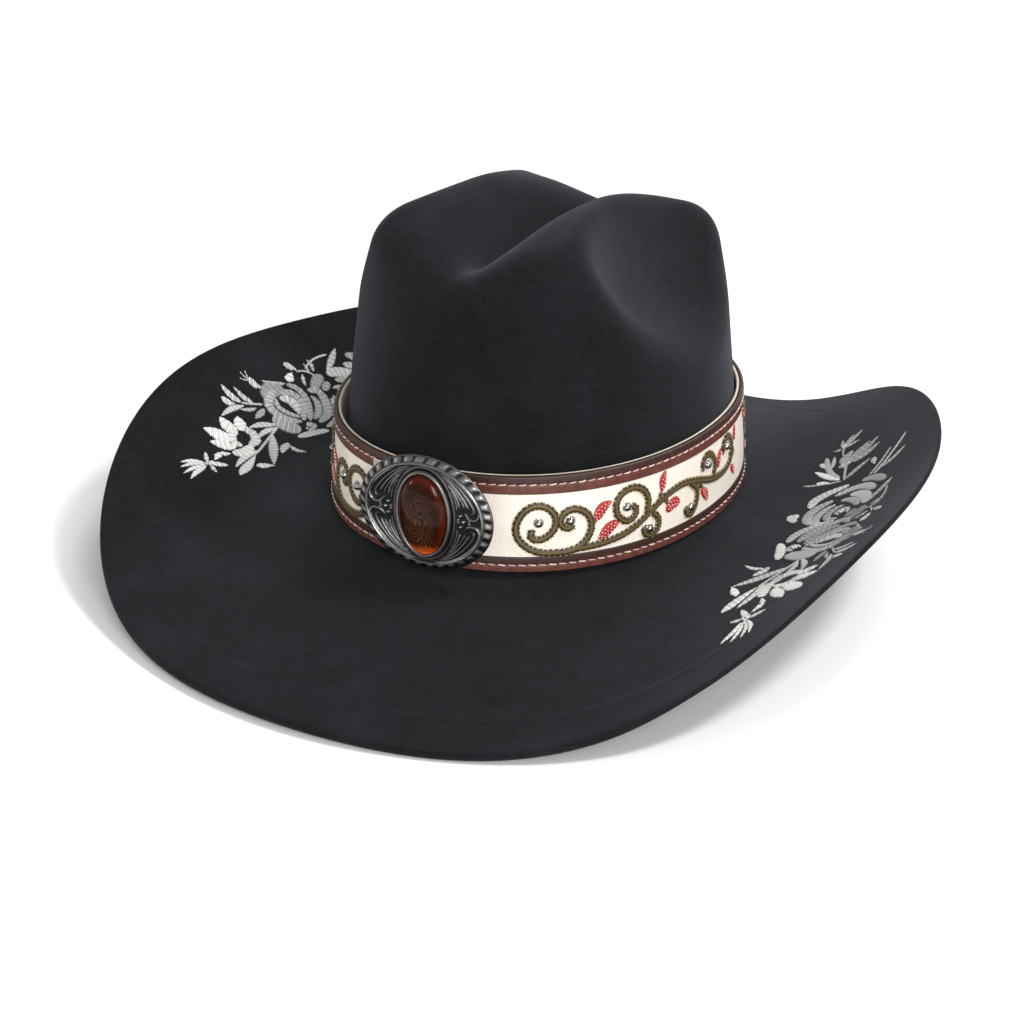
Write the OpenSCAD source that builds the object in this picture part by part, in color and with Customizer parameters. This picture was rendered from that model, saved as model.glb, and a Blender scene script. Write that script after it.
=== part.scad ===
// Wide-brimmed western hat in faux suede, with a lift-off leather band and a
// hinged oval buckle. Millimetres, +Z up, the front of the hat faces -Y.
// The lowest points of the brim, front and back, rest on Z = 0.

/* [Crown] */
// Half width of the crown at the headline
crown_half_width = 86.2; // [84:0.1:86.4]
// Reach of the crown wall in front of the centre
crown_half_front = 96.8; // [94:0.1:98]
// Reach of the crown wall behind the centre
crown_half_back = 101.0; // [98:0.1:101.2]
// Roundness of the head oval, 2 is an ellipse
oval_power = 2.1; // [2:0.05:2.3]
// Height where the wall starts to lean in
crown_waist = 62.9; // [55:0.1:70]
// Lean of the side walls
lean_side = 0.092; // [0.07:0.001:0.13]
// Lean of the front wall
lean_front = 0.209; // [0.17:0.001:0.24]
// Lean of the back wall
lean_back = 0.109; // [0.09:0.001:0.14]
// Height of the domed top before it is creased
crown_height = 171.6; // [160:0.1:178]
// Rounding between the wall and the top
shoulder_round = 15; // [10:0.5:20]
// Half width, half length and half depth of the centre crease
crease_size = [19.2, 112.6, 47.3]; // [10:0.1:120]
// Height of the middle of the centre crease
crease_height = 190.3; // [186:0.1:196]
// Half width, half length and half depth of each side dent
dent_size = [73.9, 117.4, 95.3]; // [40:0.1:130]
// Middle of each side dent, outwards, back and up
dent_middle = [109, 3.4, 202]; // [0:0.1:220]
// Forward tilt of the side dents, in degrees
dent_tilt = -21.2; // [-26:0.1:-16]
// Thickness of the suede cover
cover_t = 0.9; // [0.6:0.1:1.2]
// Thickness of the stiff crown form
form_t = 1.5; // [1:0.1:1.8]
// Thickness of the satin lining
lining_t = 0.4; // [0.3:0.05:0.6]

/* [Brim] */
// Full thickness of the brim
brim_t = 4.0; // [3.4:0.1:4.6]
// Thickness of each suede skin of the brim
skin_t = 1.1; // [0.8:0.1:1.3]
// Height of the headline over the brim's own datum
headline_z = 30.6; // [29.8:0.1:30.8]
// Mean radius of the brim's edge
edge_r0 = 195.8; // [185:0.1:205]
// Extra reach at the front over the back
edge_r1 = 6.6; // [0:0.1:10]
// Extra reach front and back over the sides
edge_r2 = 11.4; // [5:0.1:16]
// Third harmonic of the edge's reach
edge_r3 = -4.0; // [-6:0.1:2]
// Fourth and fifth harmonics of the edge's reach
edge_r45 = [0.2, -0.8]; // [-3:0.1:3]
// Hand-shaped unevenness of the reach, four harmonics
edge_rs = [-0.7, -1.1, -1.7, 1.6]; // [-3:0.1:3]
// Mean height of the edge
edge_z0 = 34.0; // [28:0.1:38]
// Front edge lower than the back edge
edge_z1 = -12.7; // [-16:0.1:0]
// Curl of the sides over front and back
edge_z2 = -31.0; // [-36:0.1:-24]
// Third harmonic of the edge's height
edge_z3 = 8.0; // [2:0.1:11]
// Fourth and fifth harmonics of the edge's height
edge_z45 = [-2.3, 5.3]; // [-6:0.1:8]
// Hand-shaped unevenness of the height, four harmonics
edge_zs = [0.4, -3.1, 0, 0.8]; // [-4:0.1:4]
// Drop of the brim as it leaves the crown at the front and at the sides
brim_dip = [38, 46]; // [30:1:52]

/* [Sweatband] */
// Height of the leather sweatband
sweat_h = 40; // [32:1:46]
// Thickness of the sweatband
sweat_t = 1.2; // [0.8:0.1:1.6]

/* [Band] */
// Outer half width of the band at its bottom edge
band_half_width = 91.5; // [91.4:0.1:93]
// Outer half length of the band at its bottom edge
band_half_length = 105.1; // [105:0.1:107]
// Height of the band
band_h = 44.5; // [42:0.1:46]
// Bottom of the band over the brim's datum
band_z = 32.5; // [32.4:0.1:34]
// How much narrower the band is at its top edge
band_lean = 2.2; // [1.5:0.1:2.4]
// Full thickness of the band
band_t = 3.4; // [3:0.1:3.5]
// Height of the upper and lower leather bindings
trim_h = [8.2, 7.4]; // [6:0.1:10]
// Thickness of the leather bindings
trim_t = 0.6; // [0.4:0.1:0.8]
// Pitch of the stitching
stitch_pitch = 4.4; // [4:0.1:6]
// Radius of the embroidered vine
vine_r = 0.8; // [0.5:0.05:1]
// Radius of the small metal studs
stud_r = 1.7; // [1.2:0.1:1.8]

/* [Buckle] */
// Angle of the buckle from straight ahead, towards +X
buckle_turn = 4.5; // [2:0.5:7]
// Half width and half height of the plate
plate_size = [32.5, 26.5]; // [24:0.5:34]
// Thickness of the plate
plate_t = 2.2; // [1.8:0.1:2.6]
// Gap from the band to the back of the plate
plate_gap = 6.5; // [6.4:0.1:7.5]
// Height of the plate's middle over the band's middle
plate_rise = 5.2; // [4:0.1:6]
// Half width and half height of the stone
stone_size = [11.5, 18.4]; // [9:0.1:13]
// Height of the domed stone over the plate
stone_h = 6.5; // [4:0.1:8]
// Diameter of the bail's bar
bail_d = 3.0; // [2.6:0.1:3.2]

/* [Hidden] */
NT = 48;      // steps around the crown and the brim
NB = 96;      // steps around the band
ray_z = 62;   // height the crown's upper rings are cast from

// ---- crown surface: the zero level of a smooth field ----
function smax(a, b, k) = let(h = max(k - abs(a - b), 0) / k) max(a, b) + h * h * k / 4;
function ball(p, r) = let(
    q = norm([p.x / r.x, p.y / r.y, p.z / r.z]),
    g = norm([p.x / (r.x * r.x), p.y / (r.y * r.y), p.z / (r.z * r.z)])) q * (q - 1) / max(g, 1e-6);
function soft(z) = let(d = z - crown_waist) 0.5 * (d + sqrt(d * d + 400));
function half_w(z) = crown_half_width - lean_side * soft(z);
function half_l(y, z) = y < 0 ? crown_half_front - lean_front * soft(z) : crown_half_back - lean_back * soft(z);
function wall_f(p) = let(
    q = pow(pow(abs(p.x) / half_w(p.z), oval_power) + pow(abs(p.y) / half_l(p.y, p.z), oval_power), 1 / oval_power))
    (q - 1) * (norm([p.x, p.y]) + 0.01) / (q + 0.0001);
function top_f(p) = let(y = p.y + 11.5, s = 0.007 * y)
    (p.z - crown_height + 0.0035 * y * y - 0.0021 * p.x * p.x) / sqrt(1 + s * s);
function crown_f(p) = let(
    body = smax(wall_f(p), top_f(p), shoulder_round),
    creased = smax(body, -ball([p.x, p.y - 9.2, p.z - crease_height], crease_size), 14),
    y = p.y - dent_middle.y, z = p.z - dent_middle.z, c = cos(dent_tilt), s = sin(dent_tilt))
    smax(creased, -ball([abs(p.x) - dent_middle.x, c * y + s * z, -s * y + c * z], dent_size), 14);
function reach(o, d, off, lo, hi, k) = k == 0 ? (lo + hi) / 2 :
    let(m = (lo + hi) / 2) crown_f(o + m * d) < off ? reach(o, d, off, m, hi, k - 1) : reach(o, d, off, lo, m, k - 1);
function cast(t, z, e, off) = let(o = [0, 0, z], d = [sin(t) * cos(e), -cos(t) * cos(e), sin(e)]) o + d * reach(o, d, off, 0, 160, 16);

base_z = headline_z - brim_t / 2;
crown_rings = concat([for (z = [base_z, 38, 50]) [z, 0]],
    [for (e = [0, 12, 24, 34, 42, 48, 54, 59, 64, 69, 74, 79, 84.5]) [ray_z, e]]);
lining_rings = concat([[base_z + 3, 0], [base_z + sweat_h / 2, 0], [base_z + sweat_h, 0]], [for (e = [9, 20, 38, 50, 58, 66, 74, 82]) [ray_z, e]]);
// extra lets a loose lining hang away from the crown above the head
function dome(rings, off, extra = 0) = [for (r = rings) [for (i = [0 : NT - 1]) cast(i * 360 / NT, r[0], r[1], off - extra * max(0, min(1, (r[1] - 9) / 16)))]];
function apex(off) = cast(0, ray_z, 90, off);

// ---- brim surface ----
function polar_r(a, b, t) = 1 / pow(pow(abs(sin(t)) / a, oval_power) + pow(abs(cos(t)) / b, oval_power), 1 / oval_power);
function inner_r(t) = polar_r(half_w(headline_z), half_l(-cos(t), headline_z), t) + 0.15;
function waves(t, c, s) = c[0] + c[1] * cos(t) + c[2] * cos(2 * t) + c[3] * cos(3 * t) + c[4] * cos(4 * t) + c[5] * cos(5 * t)
    + s[0] * sin(t) + s[1] * sin(2 * t) + s[2] * sin(3 * t) + s[3] * sin(4 * t);
function edge_r(t) = waves(t, [edge_r0, edge_r1, edge_r2, edge_r3, edge_r45[0], edge_r45[1]], edge_rs);
function edge_z(t) = waves(t, [edge_z0, edge_z1, edge_z2, edge_z3, edge_z45[0], edge_z45[1]], edge_zs);
function brim_mid(t, s) = let(
    ri = inner_r(t), r = ri + (edge_r(t) - ri) * s,
    a = -(brim_dip[0] + brim_dip[1]) / 2 - (brim_dip[0] - brim_dip[1]) / 2 * cos(2 * t))
    [r * sin(t), -r * cos(t), headline_z + a * s + (edge_z(t) - headline_z - a) * s * s];
function unit(v) = v / norm(v);
function brim_n(t, s) = unit(cross(brim_mid(t, s + 0.01) - brim_mid(t, s - 0.01), brim_mid(t + 0.5, s) - brim_mid(t - 0.5, s)));
function brim_at(t, s, off) = let(w = min(1, 4 * s)) brim_mid(t, s) + off * unit([0, 0, 1 - w] + w * brim_n(t, s));
function brim_xy(x, y, up) = let(t = atan2(x, -y), ri = inner_r(t), s = (norm([x, y]) - ri) / (edge_r(t) - ri))
    brim_at(t, s, brim_t / 2 + up);
function brim_grid(ss, off) = [for (s = ss) [for (i = [0 : NT - 1]) brim_at(i * 360 / NT, s, off)]];
skin_s = [0, 0.1, 0.22, 0.36, 0.5, 0.64, 0.74, 0.81, 0.88, 0.94, 1];
core_s = [for (s = skin_s) if (s < 0.82) s - (s > 0.8 ? 0.004 : 0)];
stay_s = [for (s = skin_s) if (s > 0.80) s];

// Where the whole hat sits: centred over its own box, lowest skin on the floor
under_edge = [for (i = [0 : NT - 1]) brim_at(i * 360 / NT, 1, -brim_t / 2)];
over_edge = [for (i = [0 : NT - 1]) brim_at(i * 360 / NT, 1, brim_t / 2)];
rim = concat(under_edge, over_edge);
shift = [-(max([for (p = rim) p.x]) + min([for (p = rim) p.x])) / 2,
         -(max([for (p = rim) p.y]) + min([for (p = rim) p.y])) / 2,
         -min([for (p = rim) p.z])];

// ---- band surface, d is measured outwards from the outer face ----
function oval_n(p, a, b) = unit([sign(p.x) * pow(abs(p.x) / a, oval_power - 1) / a, sign(p.y) * pow(abs(p.y) / b, oval_power - 1) / b]);
function band_at(t, z, d) = let(
    k = (z - band_z) / band_h * band_lean, a = band_half_width - k, b = band_half_length - k,
    r = polar_r(a, b, t), p = [r * sin(t), -r * cos(t)], q = p + d * oval_n(p, a, b)) [q.x, q.y, z];
band_mid = band_z + band_h / 2;
band_top = band_z + band_h;
// The two ends of the band meet behind the buckle
band_start = 1.2;
band_sweep = 359.6;
// Running length along the band, from the buckle's middle: a table of angles
arc_n = 720;
arc_p = [for (i = [0 : arc_n]) band_at(buckle_turn + (i - arc_n / 2) / 2, band_mid, 0)];
function sums(i, acc, out) = i > arc_n ? out : let(a = acc + norm(arc_p[i] - arc_p[i - 1])) sums(i + 1, a, concat(out, [a]));
arc_s0 = sums(1, 0, [0]);
arc_s = [for (v = arc_s0) v - arc_s0[arc_n / 2]];
function arc_t(s) = buckle_turn + lookup(s, [for (i = [0 : 4 : arc_n]) [arc_s[i], (i - arc_n / 2) / 2]]);
function on_band(s, v, d) = band_at(arc_t(s), band_mid + v, d);

// ---- meshes ----
function flat(l) = [for (r = l) for (p = r) p];
// A closed shell between two domes with the same rings, open at the bottom
module dome_shell(P, Q, pa, qa) {
  n = NT; m = len(P); o = n * m + 1;
  polyhedron(points = concat(flat(P), [pa], flat(Q), [qa]), faces = concat(
    [for (k = [0 : m - 2]) for (i = [0 : n - 1]) let(j = (i + 1) % n, a = k * n + i, b = k * n + j, c = b + n, d = a + n)
      each [[a, d, c], [a, c, b], [o + a, o + c, o + d], [o + a, o + b, o + c]]],
    [for (i = [0 : n - 1]) let(j = (i + 1) % n, a = (m - 1) * n + i, b = (m - 1) * n + j)
      each [[a, n * m, b], [o + a, o + b, o + n * m], [i, j, o + j], [i, o + j, o + i]]]));
}
// A closed ring-shaped sheet between two grids, P above Q
module ring_sheet(P, Q) {
  n = len(P[0]); m = len(P); o = n * m; e = (m - 1) * n;
  polyhedron(points = concat(flat(P), flat(Q)), faces = concat(
    [for (k = [0 : m - 2]) for (i = [0 : n - 1]) let(j = (i + 1) % n, a = k * n + i, b = k * n + j, c = b + n, d = a + n)
      each [[a, b, c], [a, c, d], [o + a, o + c, o + b], [o + a, o + d, o + c]]],
    [for (i = [0 : n - 1]) let(j = (i + 1) % n)
      each [[j, i, o + i], [j, o + i, o + j], [e + i, e + j, o + e + j], [e + i, o + e + j, o + e + i]]]));
}
// A strip of the band: section points are [d, z], outer bottom first, going up
module band_strip(sec, caps) {
  m = len(sec);
  P = [for (i = [0 : NB]) [for (s = sec) band_at(band_start + band_sweep * i / NB, s[1], s[0])]];
  polyhedron(points = flat(P), faces = concat(
    [for (i = [0 : NB - 1]) for (j = [0 : m - 1]) let(k = (j + 1) % m, a = i * m + j, b = i * m + k, c = b + m, d = a + m)
      each [[a, b, c], [a, c, d]]],
    [for (c = caps) [c[2], c[1], c[0]]],
    [for (c = caps) [NB * m + c[0], NB * m + c[1], NB * m + c[2]]]));
}
// A small tube with four sides through points on the band
module band_tube(pts, r) {
  n = len(pts);
  function dir(i) = unit(pts[min(i + 1, n - 1)] - pts[max(i - 1, 0)]);
  P = [for (i = [0 : n - 1]) let(d = dir(i), x = [-d.y, d.x]) each [
      on_band(pts[i].x + r * x.x, pts[i].y + r * x.y, r - trim_t + 0.1), on_band(pts[i].x, pts[i].y, 2 * r - trim_t + 0.1),
      on_band(pts[i].x - r * x.x, pts[i].y - r * x.y, r - trim_t + 0.1), on_band(pts[i].x, pts[i].y, 0.1 - trim_t)]];
  polyhedron(points = P, faces = concat(
    [for (i = [0 : n - 2]) for (j = [0 : 3]) let(k = (j + 1) % 4, a = 4 * i + j, b = 4 * i + k)
      each [[a, b, b + 4], [a, b + 4, a + 4]]],
    [[2, 1, 0], [3, 2, 0]], [[4 * n - 4, 4 * n - 3, 4 * n - 2], [4 * n - 4, 4 * n - 2, 4 * n - 1]]));
}
// A low pad with a pointed oval outline; F maps [x, y, up] to its place
function leaf_pt(c, l, w, a, i, n, k) = let(u = 360 * i / n, x = l / 2 * cos(u) * k, y = w / 2 * sin(u) * (1 - 0.25 * pow(abs(cos(u)), 3)) * k)
    [c.x + x * cos(a) - y * sin(a), c.y + x * sin(a) + y * cos(a)];
module pad_mesh(B, T, cb, ct, flip) {
  n = len(B); c = 2 * n;
  F = [for (i = [0 : n - 1]) let(j = (i + 1) % n)
    each [[i, n + i, n + j], [i, n + j, j], [n + i, c + 1, n + j], [i, j, c]]];
  polyhedron(points = concat(B, T, [cb, ct]), faces = flip ? [for (f = F) [f[2], f[1], f[0]]] : F);
}
module brim_pad(side, c, l, w, a, h = 0.9, n = 8) {
  B = [for (i = [0 : n - 1]) let(q = leaf_pt(c, l, w, a, i, n, 1)) brim_xy(side * q.x, q.y, 0.6)];
  T = [for (i = [0 : n - 1]) let(q = leaf_pt(c, l, w, a, i, n, 0.8)) brim_xy(side * q.x, q.y, 0.6 + 0.8 * h)];
  pad_mesh(B, T, brim_xy(side * c.x, c.y, 0.6), brim_xy(side * c.x, c.y, 0.6 + h), side < 0);
}
module band_pad(side, c, l, w, a, h = 1.2, n = 6) {
  g = 0.12 - trim_t;
  B = [for (i = [0 : n - 1]) let(q = leaf_pt(c, l, w, a, i, n, 1)) on_band(side * q.x, q.y, g)];
  T = [for (i = [0 : n - 1]) let(q = leaf_pt(c, l, w, a, i, n, 0.7)) on_band(side * q.x, q.y, g + 0.8 * h)];
  pad_mesh(B, T, on_band(side * c.x, c.y, g), on_band(side * c.x, c.y, g + h), side < 0);
}
module placed() translate(shift) children();
// Stands on the band's outer face under the buckle: X along the band, Y up, Z outwards
module at_buckle() {
  p = band_at(buckle_turn, band_mid, 0);
  q = band_at(buckle_turn, band_mid, 1) - p;
  translate(p) rotate([0, 0, atan2(q.y, q.x) + 90]) rotate([90, 0, 0]) children();
}
module oval(a, b, h, n = 64) linear_extrude(h) polygon([for (i = [0 : n - 1]) [a * cos(360 * i / n), b * sin(360 * i / n)]]);
module oval_ring(a, b, w, h, n = 64) difference() { oval(a, b, h, n); translate([0, 0, -1]) oval(a - w, b - w, h + 2, n); }

// ---- hat ----
module crown_cover() color([0.09, 0.09, 0.11])
  dome_shell(dome(crown_rings, 0), dome(crown_rings, -cover_t), apex(0), apex(-cover_t));
module crown_form() color([0.25, 0.25, 0.26])
  dome_shell(dome(crown_rings, -cover_t), dome(crown_rings, -cover_t - form_t), apex(-cover_t), apex(-cover_t - form_t));
module crown_lining() color([0.12, 0.10, 0.10]) let(o = -cover_t - form_t - 0.3, e = 2.2)
  dome_shell(dome(lining_rings, o, e), dome(lining_rings, o - lining_t, e), apex(o - e), apex(o - e - lining_t));
module brim_top_skin() color([0.09, 0.09, 0.11]) ring_sheet(brim_grid(skin_s, brim_t / 2), brim_grid(skin_s, brim_t / 2 - skin_t));
module brim_core() color([0.3, 0.3, 0.3]) ring_sheet(brim_grid(core_s, brim_t / 2 - skin_t - 0.05), brim_grid(core_s, skin_t - brim_t / 2 + 0.05));
module brim_under_skin() color([0.09, 0.09, 0.11]) ring_sheet(brim_grid(skin_s, skin_t - brim_t / 2), brim_grid(skin_s, -brim_t / 2));
module brim_edge_stay() color([0.2, 0.2, 0.2]) ring_sheet(brim_grid(stay_s, brim_t / 2 - skin_t), brim_grid(stay_s, skin_t - brim_t / 2));

sweat_off = -cover_t - form_t - lining_t - 0.5;
module sweatband() color([0.16, 0.10, 0.07]) {
  zs = [base_z, base_z + sweat_h / 2, base_z + sweat_h];
  O = [for (z = zs) [for (i = [0 : NT - 1]) cast(i * 360 / NT, z, 0, sweat_off)]];
  I = [for (z = zs) [for (i = [0 : NT - 1]) cast(i * 360 / NT, z, 0, sweat_off - sweat_t)]];
  ring_sheet(I, O);
}
module sweatband_reed() color([0.14, 0.09, 0.06]) {
  n = 6; o = sweat_off - sweat_t / 2;
  P = [for (k = [0 : n - 1]) [for (i = [0 : NT - 1]) let(t = i * 360 / NT, p = cast(t, base_z, 0, o), r = 0.9, u = 60 * k)
    p + [r * cos(u) * sin(t), -r * cos(u) * cos(t), r * sin(u) - r - 0.05]]];
  polyhedron(points = flat(P), faces = [for (k = [0 : n - 1]) for (i = [0 : NT - 1])
    let(j = (i + 1) % NT, l = (k + 1) % n, a = k * NT + i, b = k * NT + j, c = l * NT + j, d = l * NT + i) each [[a, d, c], [a, c, b]]]);
}
module sweatband_bow() color([0.12, 0.08, 0.07]) {
  p = cast(180, base_z + 22, 0, sweat_off - sweat_t);
  translate([0, p.y - 0.9, p.z]) rotate([90, 0, 0]) {
    cylinder(d = 3.4, h = 1.4, $fn = 32);
    for (s = [-1, 1]) translate([s * 4.8, 0, 0]) difference() {
      cylinder(d = 6, h = 1, $fn = 40);
      translate([0, 0, -1]) cylinder(d = 3, h = 3, $fn = 32);
    }
    for (s = [-1, 1]) rotate([0, 0, s * 24]) translate([-0.9, -10, 0]) cube([1.8, 8.2, 0.6]);
  }
}
// Spray of two roses, a tulip, a small star flower, buds and leaves. x is out
// from the hat's middle, y is towards the back
module rose_spray(side) {
  for (r = [[138, -5, 1], [136, 27, 0.82]]) {
    c = [r[0], r[1]]; k = r[2];
    brim_pad(side, c, 13 * k, 11 * k, 20, 1.3);
    for (i = [0 : 4]) let(a = 72 * i + 10) brim_pad(side, c + 11.5 * k * [cos(a), sin(a)], 15.5 * k, 8.6 * k, a + 90, 1.1);
  }
  for (i = [-1 : 1]) brim_pad(side, [142 + 6.4 * i, -52 - 3 * abs(i)], 16, 5.6, 90 + 20 * i, 1.1);
  brim_pad(side, [142, -39], 6, 6, 0, 1.1, 6);
  for (i = [0 : 4]) let(a = 72 * i + 54) brim_pad(side, [140, -84] + 5.2 * [cos(a), sin(a)], 6.6, 3.4, a, 0.9, 6);
  for (i = [-1 : 1]) brim_pad(side, [137 + 5 * i, 56 + 2 * abs(i)], 13, 4.6, 90 - 18 * i, 1.0, 6);
  for (l = [[120, -22, 15, 4.6, 40], [118, -36, 14, 4.2, 70], [127, -48, 15, 4.4, 115], [129, -64, 12, 3.6, 100],
            [155, -30, 15, 4.2, 60], [161, -44, 12, 3.6, 80], [157, -18, 12, 4, 120], [160, 10, 14, 4.4, 60],
            [118, 8, 13, 4.2, 120], [119, 28, 13, 4.2, 60], [154, 40, 13, 4, 110], [127, 72, 11, 3.2, 100], [142, 74, 10, 3, 70]])
    brim_pad(side, [l[0], l[1]], l[2], l[3], l[4], 0.8, 6);
}
module rose_embroidery_left() color([0.80, 0.82, 0.84]) rose_spray(-1);
module rose_embroidery_right() color([0.80, 0.82, 0.84]) rose_spray(1);

// ---- band ----
quad = [[0, 1, 2], [0, 2, 3]];
module band_strap() color([0.90, 0.87, 0.80])
  band_strip([[-trim_t - 0.02, band_z + trim_t + 0.01], [-trim_t - 0.02, band_top - trim_t - 0.01], [-2, band_top - trim_t - 0.01], [-2, band_z + trim_t + 0.01]], quad);
module band_backing() color([0.86, 0.82, 0.72])
  band_strip([[-2.08, band_z], [-2.08, band_top], [-band_t, band_top], [-band_t, band_z]], quad);
module band_trim_upper() color([0.36, 0.18, 0.13]) let(b = band_top - trim_h[0], c = band_top - trim_t)
  band_strip([[0, b], [0, band_top], [-2, band_top], [-2, c], [-trim_t, c], [-trim_t, b]], [[0, 1, 4], [0, 4, 5], [1, 2, 3], [1, 3, 4]]);
module band_trim_lower() color([0.40, 0.19, 0.14]) let(t = band_z + trim_h[1], c = band_z + trim_t)
  band_strip([[0, band_z], [0, t], [-trim_t, t], [-trim_t, c], [-2, c], [-2, band_z]], [[0, 1, 2], [0, 2, 3], [0, 3, 4], [0, 4, 5]]);
module stitch_row(v) for (s = [-296 : stitch_pitch : 302]) if (s < -35 || s > -16) {
  p = on_band(s - 1.1, v, 0.45); q = on_band(s + 1.1, v, 0.45); d = q - p;
  translate(p) rotate([0, 90, atan2(d.y, d.x)]) cylinder(d = 0.8, h = norm(d), $fn = 16);
}
module stitching_upper() color([0.86, 0.72, 0.70]) stitch_row(band_h / 2 - trim_h[0] * 0.55);
module stitching_lower() color([0.86, 0.72, 0.70]) stitch_row(-band_h / 2 + trim_h[1] * 0.5);
// One run of vine, x along the band from the buckle, y up from the band's middle
vine_runs = [
  [[44, -2], [47, -5], [52, -4], [54.5, 0.5], [52.5, 6], [47, 8.8], [41, 7.5], [37.3, 2], [38, -5], [43, -10.5], [51, -13.2], [60, -12.8],
   [67, -9], [69.8, -3], [68, 3], [62.5, 6], [57.6, 4.2]],
  [[64, -12.4], [74, -11.8], [83, -10.4], [91, -7.8], [98, -4], [105, 0], [113, 3], [122, 4], [132, 2], [143, -1.5], [154, -3], [163, -1.4], [170, 4]],
  [[98, -1.5], [98.8, 3], [96, 8], [91, 10.8], [85.5, 10], [82, 5.5], [83.2, -0.5], [87.5, -4], [92, -3.2], [93.2, 0.8]],
  [[101, -4.6], [104.5, -8.4], [103.6, -12.6], [99.4, -13.6]],
  [[127, 1.2], [131, -3], [130.4, -8], [126.5, -11.6], [122.6, -8.8]],
  [[146, 0], [147.4, 4.5], [145, 9], [140.5, 11], [136.8, 8]],
  [[164.8, 1.2], [167, 7], [164, 11], [159.6, 11.6], [156.6, 8.6]]];
stud_spots = [[47.2, 1.6], [61.4, 1.0], [88, 3.2], [99.2, -9.6], [127, -6.8], [141.4, 6.2], [161, 6.8]];
leaf_spots = [[75.5, 3.2, 11, 4.6, 38], [79, -6.4, 12, 4.4, 30], [108, 8.4, 9, 3.8, 68], [113.5, -4.2, 9.5, 5, -20],
              [139, -7.4, 9.5, 4, -60], [152.6, 4.2, 8, 3.4, 62], [172.4, 10, 7, 3, 70], [168.5, -6.6, 7, 3.2, -62]];
// The back half carries the same design, shortened and running the other way
function back(p) = [190 + (180 - p.x) * 0.72, p.y];
module vine_embroidery() color([0.42, 0.36, 0.14]) for (r = vine_runs) for (side = [-1, 1]) {
  band_tube(side > 0 ? r : [for (i = [len(r) - 1 : -1 : 0]) [-r[i].x, r[i].y]], vine_r);
  let(b = [for (p = r) back(p)]) band_tube(side > 0 ? [for (i = [len(b) - 1 : -1 : 0]) b[i]] : [for (p = b) [-p.x, p.y]], vine_r);
}
module leaf_embroidery() color([0.80, 0.16, 0.14]) for (side = [-1, 1]) for (l = leaf_spots) {
  band_pad(side, [l[0], l[1]], l[2], l[3], l[4]);
  band_pad(side, back([l[0], l[1]]), l[2] * 0.72, l[3] * 0.72, 180 - l[4]);
}
module band_studs() color([0.62, 0.63, 0.65]) for (side = [-1, 1]) for (p = stud_spots) {
  translate(on_band(side * p.x, p.y, stud_r - trim_t + 0.1)) sphere(r = stud_r, $fn = 32);
  q = back(p);
  translate(on_band(side * q.x, q.y, 1.2 - trim_t + 0.1)) sphere(r = 1.2, $fn = 32);
}

// ---- buckle, x along the band, y up, z outwards from the band ----
bail_x = -20; bail_w = 1.5; fold_h = 28;
module strap_fold() color([0.88, 0.85, 0.77]) at_buckle() translate([0, plate_rise, 0]) difference() {
  union() {
    translate([bail_x, fold_h / 2, bail_w]) rotate([90, 0, 0]) cylinder(r = 3.3, h = fold_h, $fn = 64);
    translate([bail_x, 0, bail_w]) rotate([0, -16, 0]) translate([-11.5, -fold_h / 2, -3.2]) cube([11.5, fold_h, 1.15]);
  }
  translate([bail_x, fold_h, bail_w]) rotate([90, 0, 0]) cylinder(d = bail_d + 0.6, h = 2 * fold_h, $fn = 64);
}
module fold_snaps() color([0.55, 0.53, 0.50]) at_buckle() translate([bail_x, plate_rise, bail_w]) rotate([0, -16, 0])
  for (s = [-1, 1]) translate([-7.4, s * 8, -2]) cylinder(d = 6, h = 0.9, $fn = 48);
module hook_eyelet() color([0.60, 0.58, 0.54]) at_buckle() translate([18, plate_rise, -1.35]) rotate([0, 12, 0]) difference() {
  cylinder(d = 9, h = 0.9, $fn = 64);
  translate([0, 0, -1]) cylinder(d = 5, h = 4, $fn = 48);
}
module buckle_plate() color([0.26, 0.26, 0.28]) at_buckle() translate([0, plate_rise, plate_gap]) {
  oval(plate_size.x, plate_size.y, plate_t);
  translate([0, 0, plate_t - 0.01]) oval_ring(plate_size.x, plate_size.y, 3.6, 1.2);
}
module stone_bezel() color([0.34, 0.34, 0.36]) at_buckle() translate([0, plate_rise, plate_gap + plate_t])
  oval_ring(stone_size.x + 2.1, stone_size.y + 2.1, 2, 2.6);
module stone() color([0.45, 0.13, 0.05]) at_buckle() translate([0, plate_rise, plate_gap + plate_t + 0.02]) {
  n = 32; m = 5;
  P = [for (k = [0 : m]) let(e = 82 * k / m) for (i = [0 : n - 1]) [stone_size.x * cos(e) * cos(360 * i / n), stone_size.y * cos(e) * sin(360 * i / n), 1 + (stone_h - 1) * sin(e)]];
  B = [for (i = [0 : n - 1]) [stone_size.x * cos(360 * i / n), stone_size.y * sin(360 * i / n), 0]];
  polyhedron(points = concat(B, P), faces = concat([[for (i = [0 : n - 1]) i]],
    [for (k = [0 : m]) for (i = [0 : n - 1]) let(j = (i + 1) % n, a = k * n + i, b = k * n + j) each [[a, a + n, b + n], [a, b + n, b]]],
    [[for (i = [n - 1 : -1 : 0]) (m + 1) * n + i]]));
}
module buckle_bail() color([0.42, 0.42, 0.44]) at_buckle() translate([bail_x, plate_rise, 0]) {
  translate([0, 17.5, bail_w]) rotate([90, 0, 0]) cylinder(d = bail_d, h = 35, $fn = 48);
  for (s = [-1, 1]) translate([0, s * 16, bail_w]) cylinder(d = bail_d, h = plate_gap - bail_w, $fn = 48);
}
module buckle_hook() color([0.42, 0.42, 0.44]) at_buckle() translate([18, plate_rise, 0]) {
  translate([0, 0, -1.6]) cylinder(d = 3, h = plate_gap + 1.6, $fn = 48);
  translate([0, 0, plate_gap - 1.2]) cylinder(d = 7, h = 1.2, $fn = 48);
}

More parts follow.
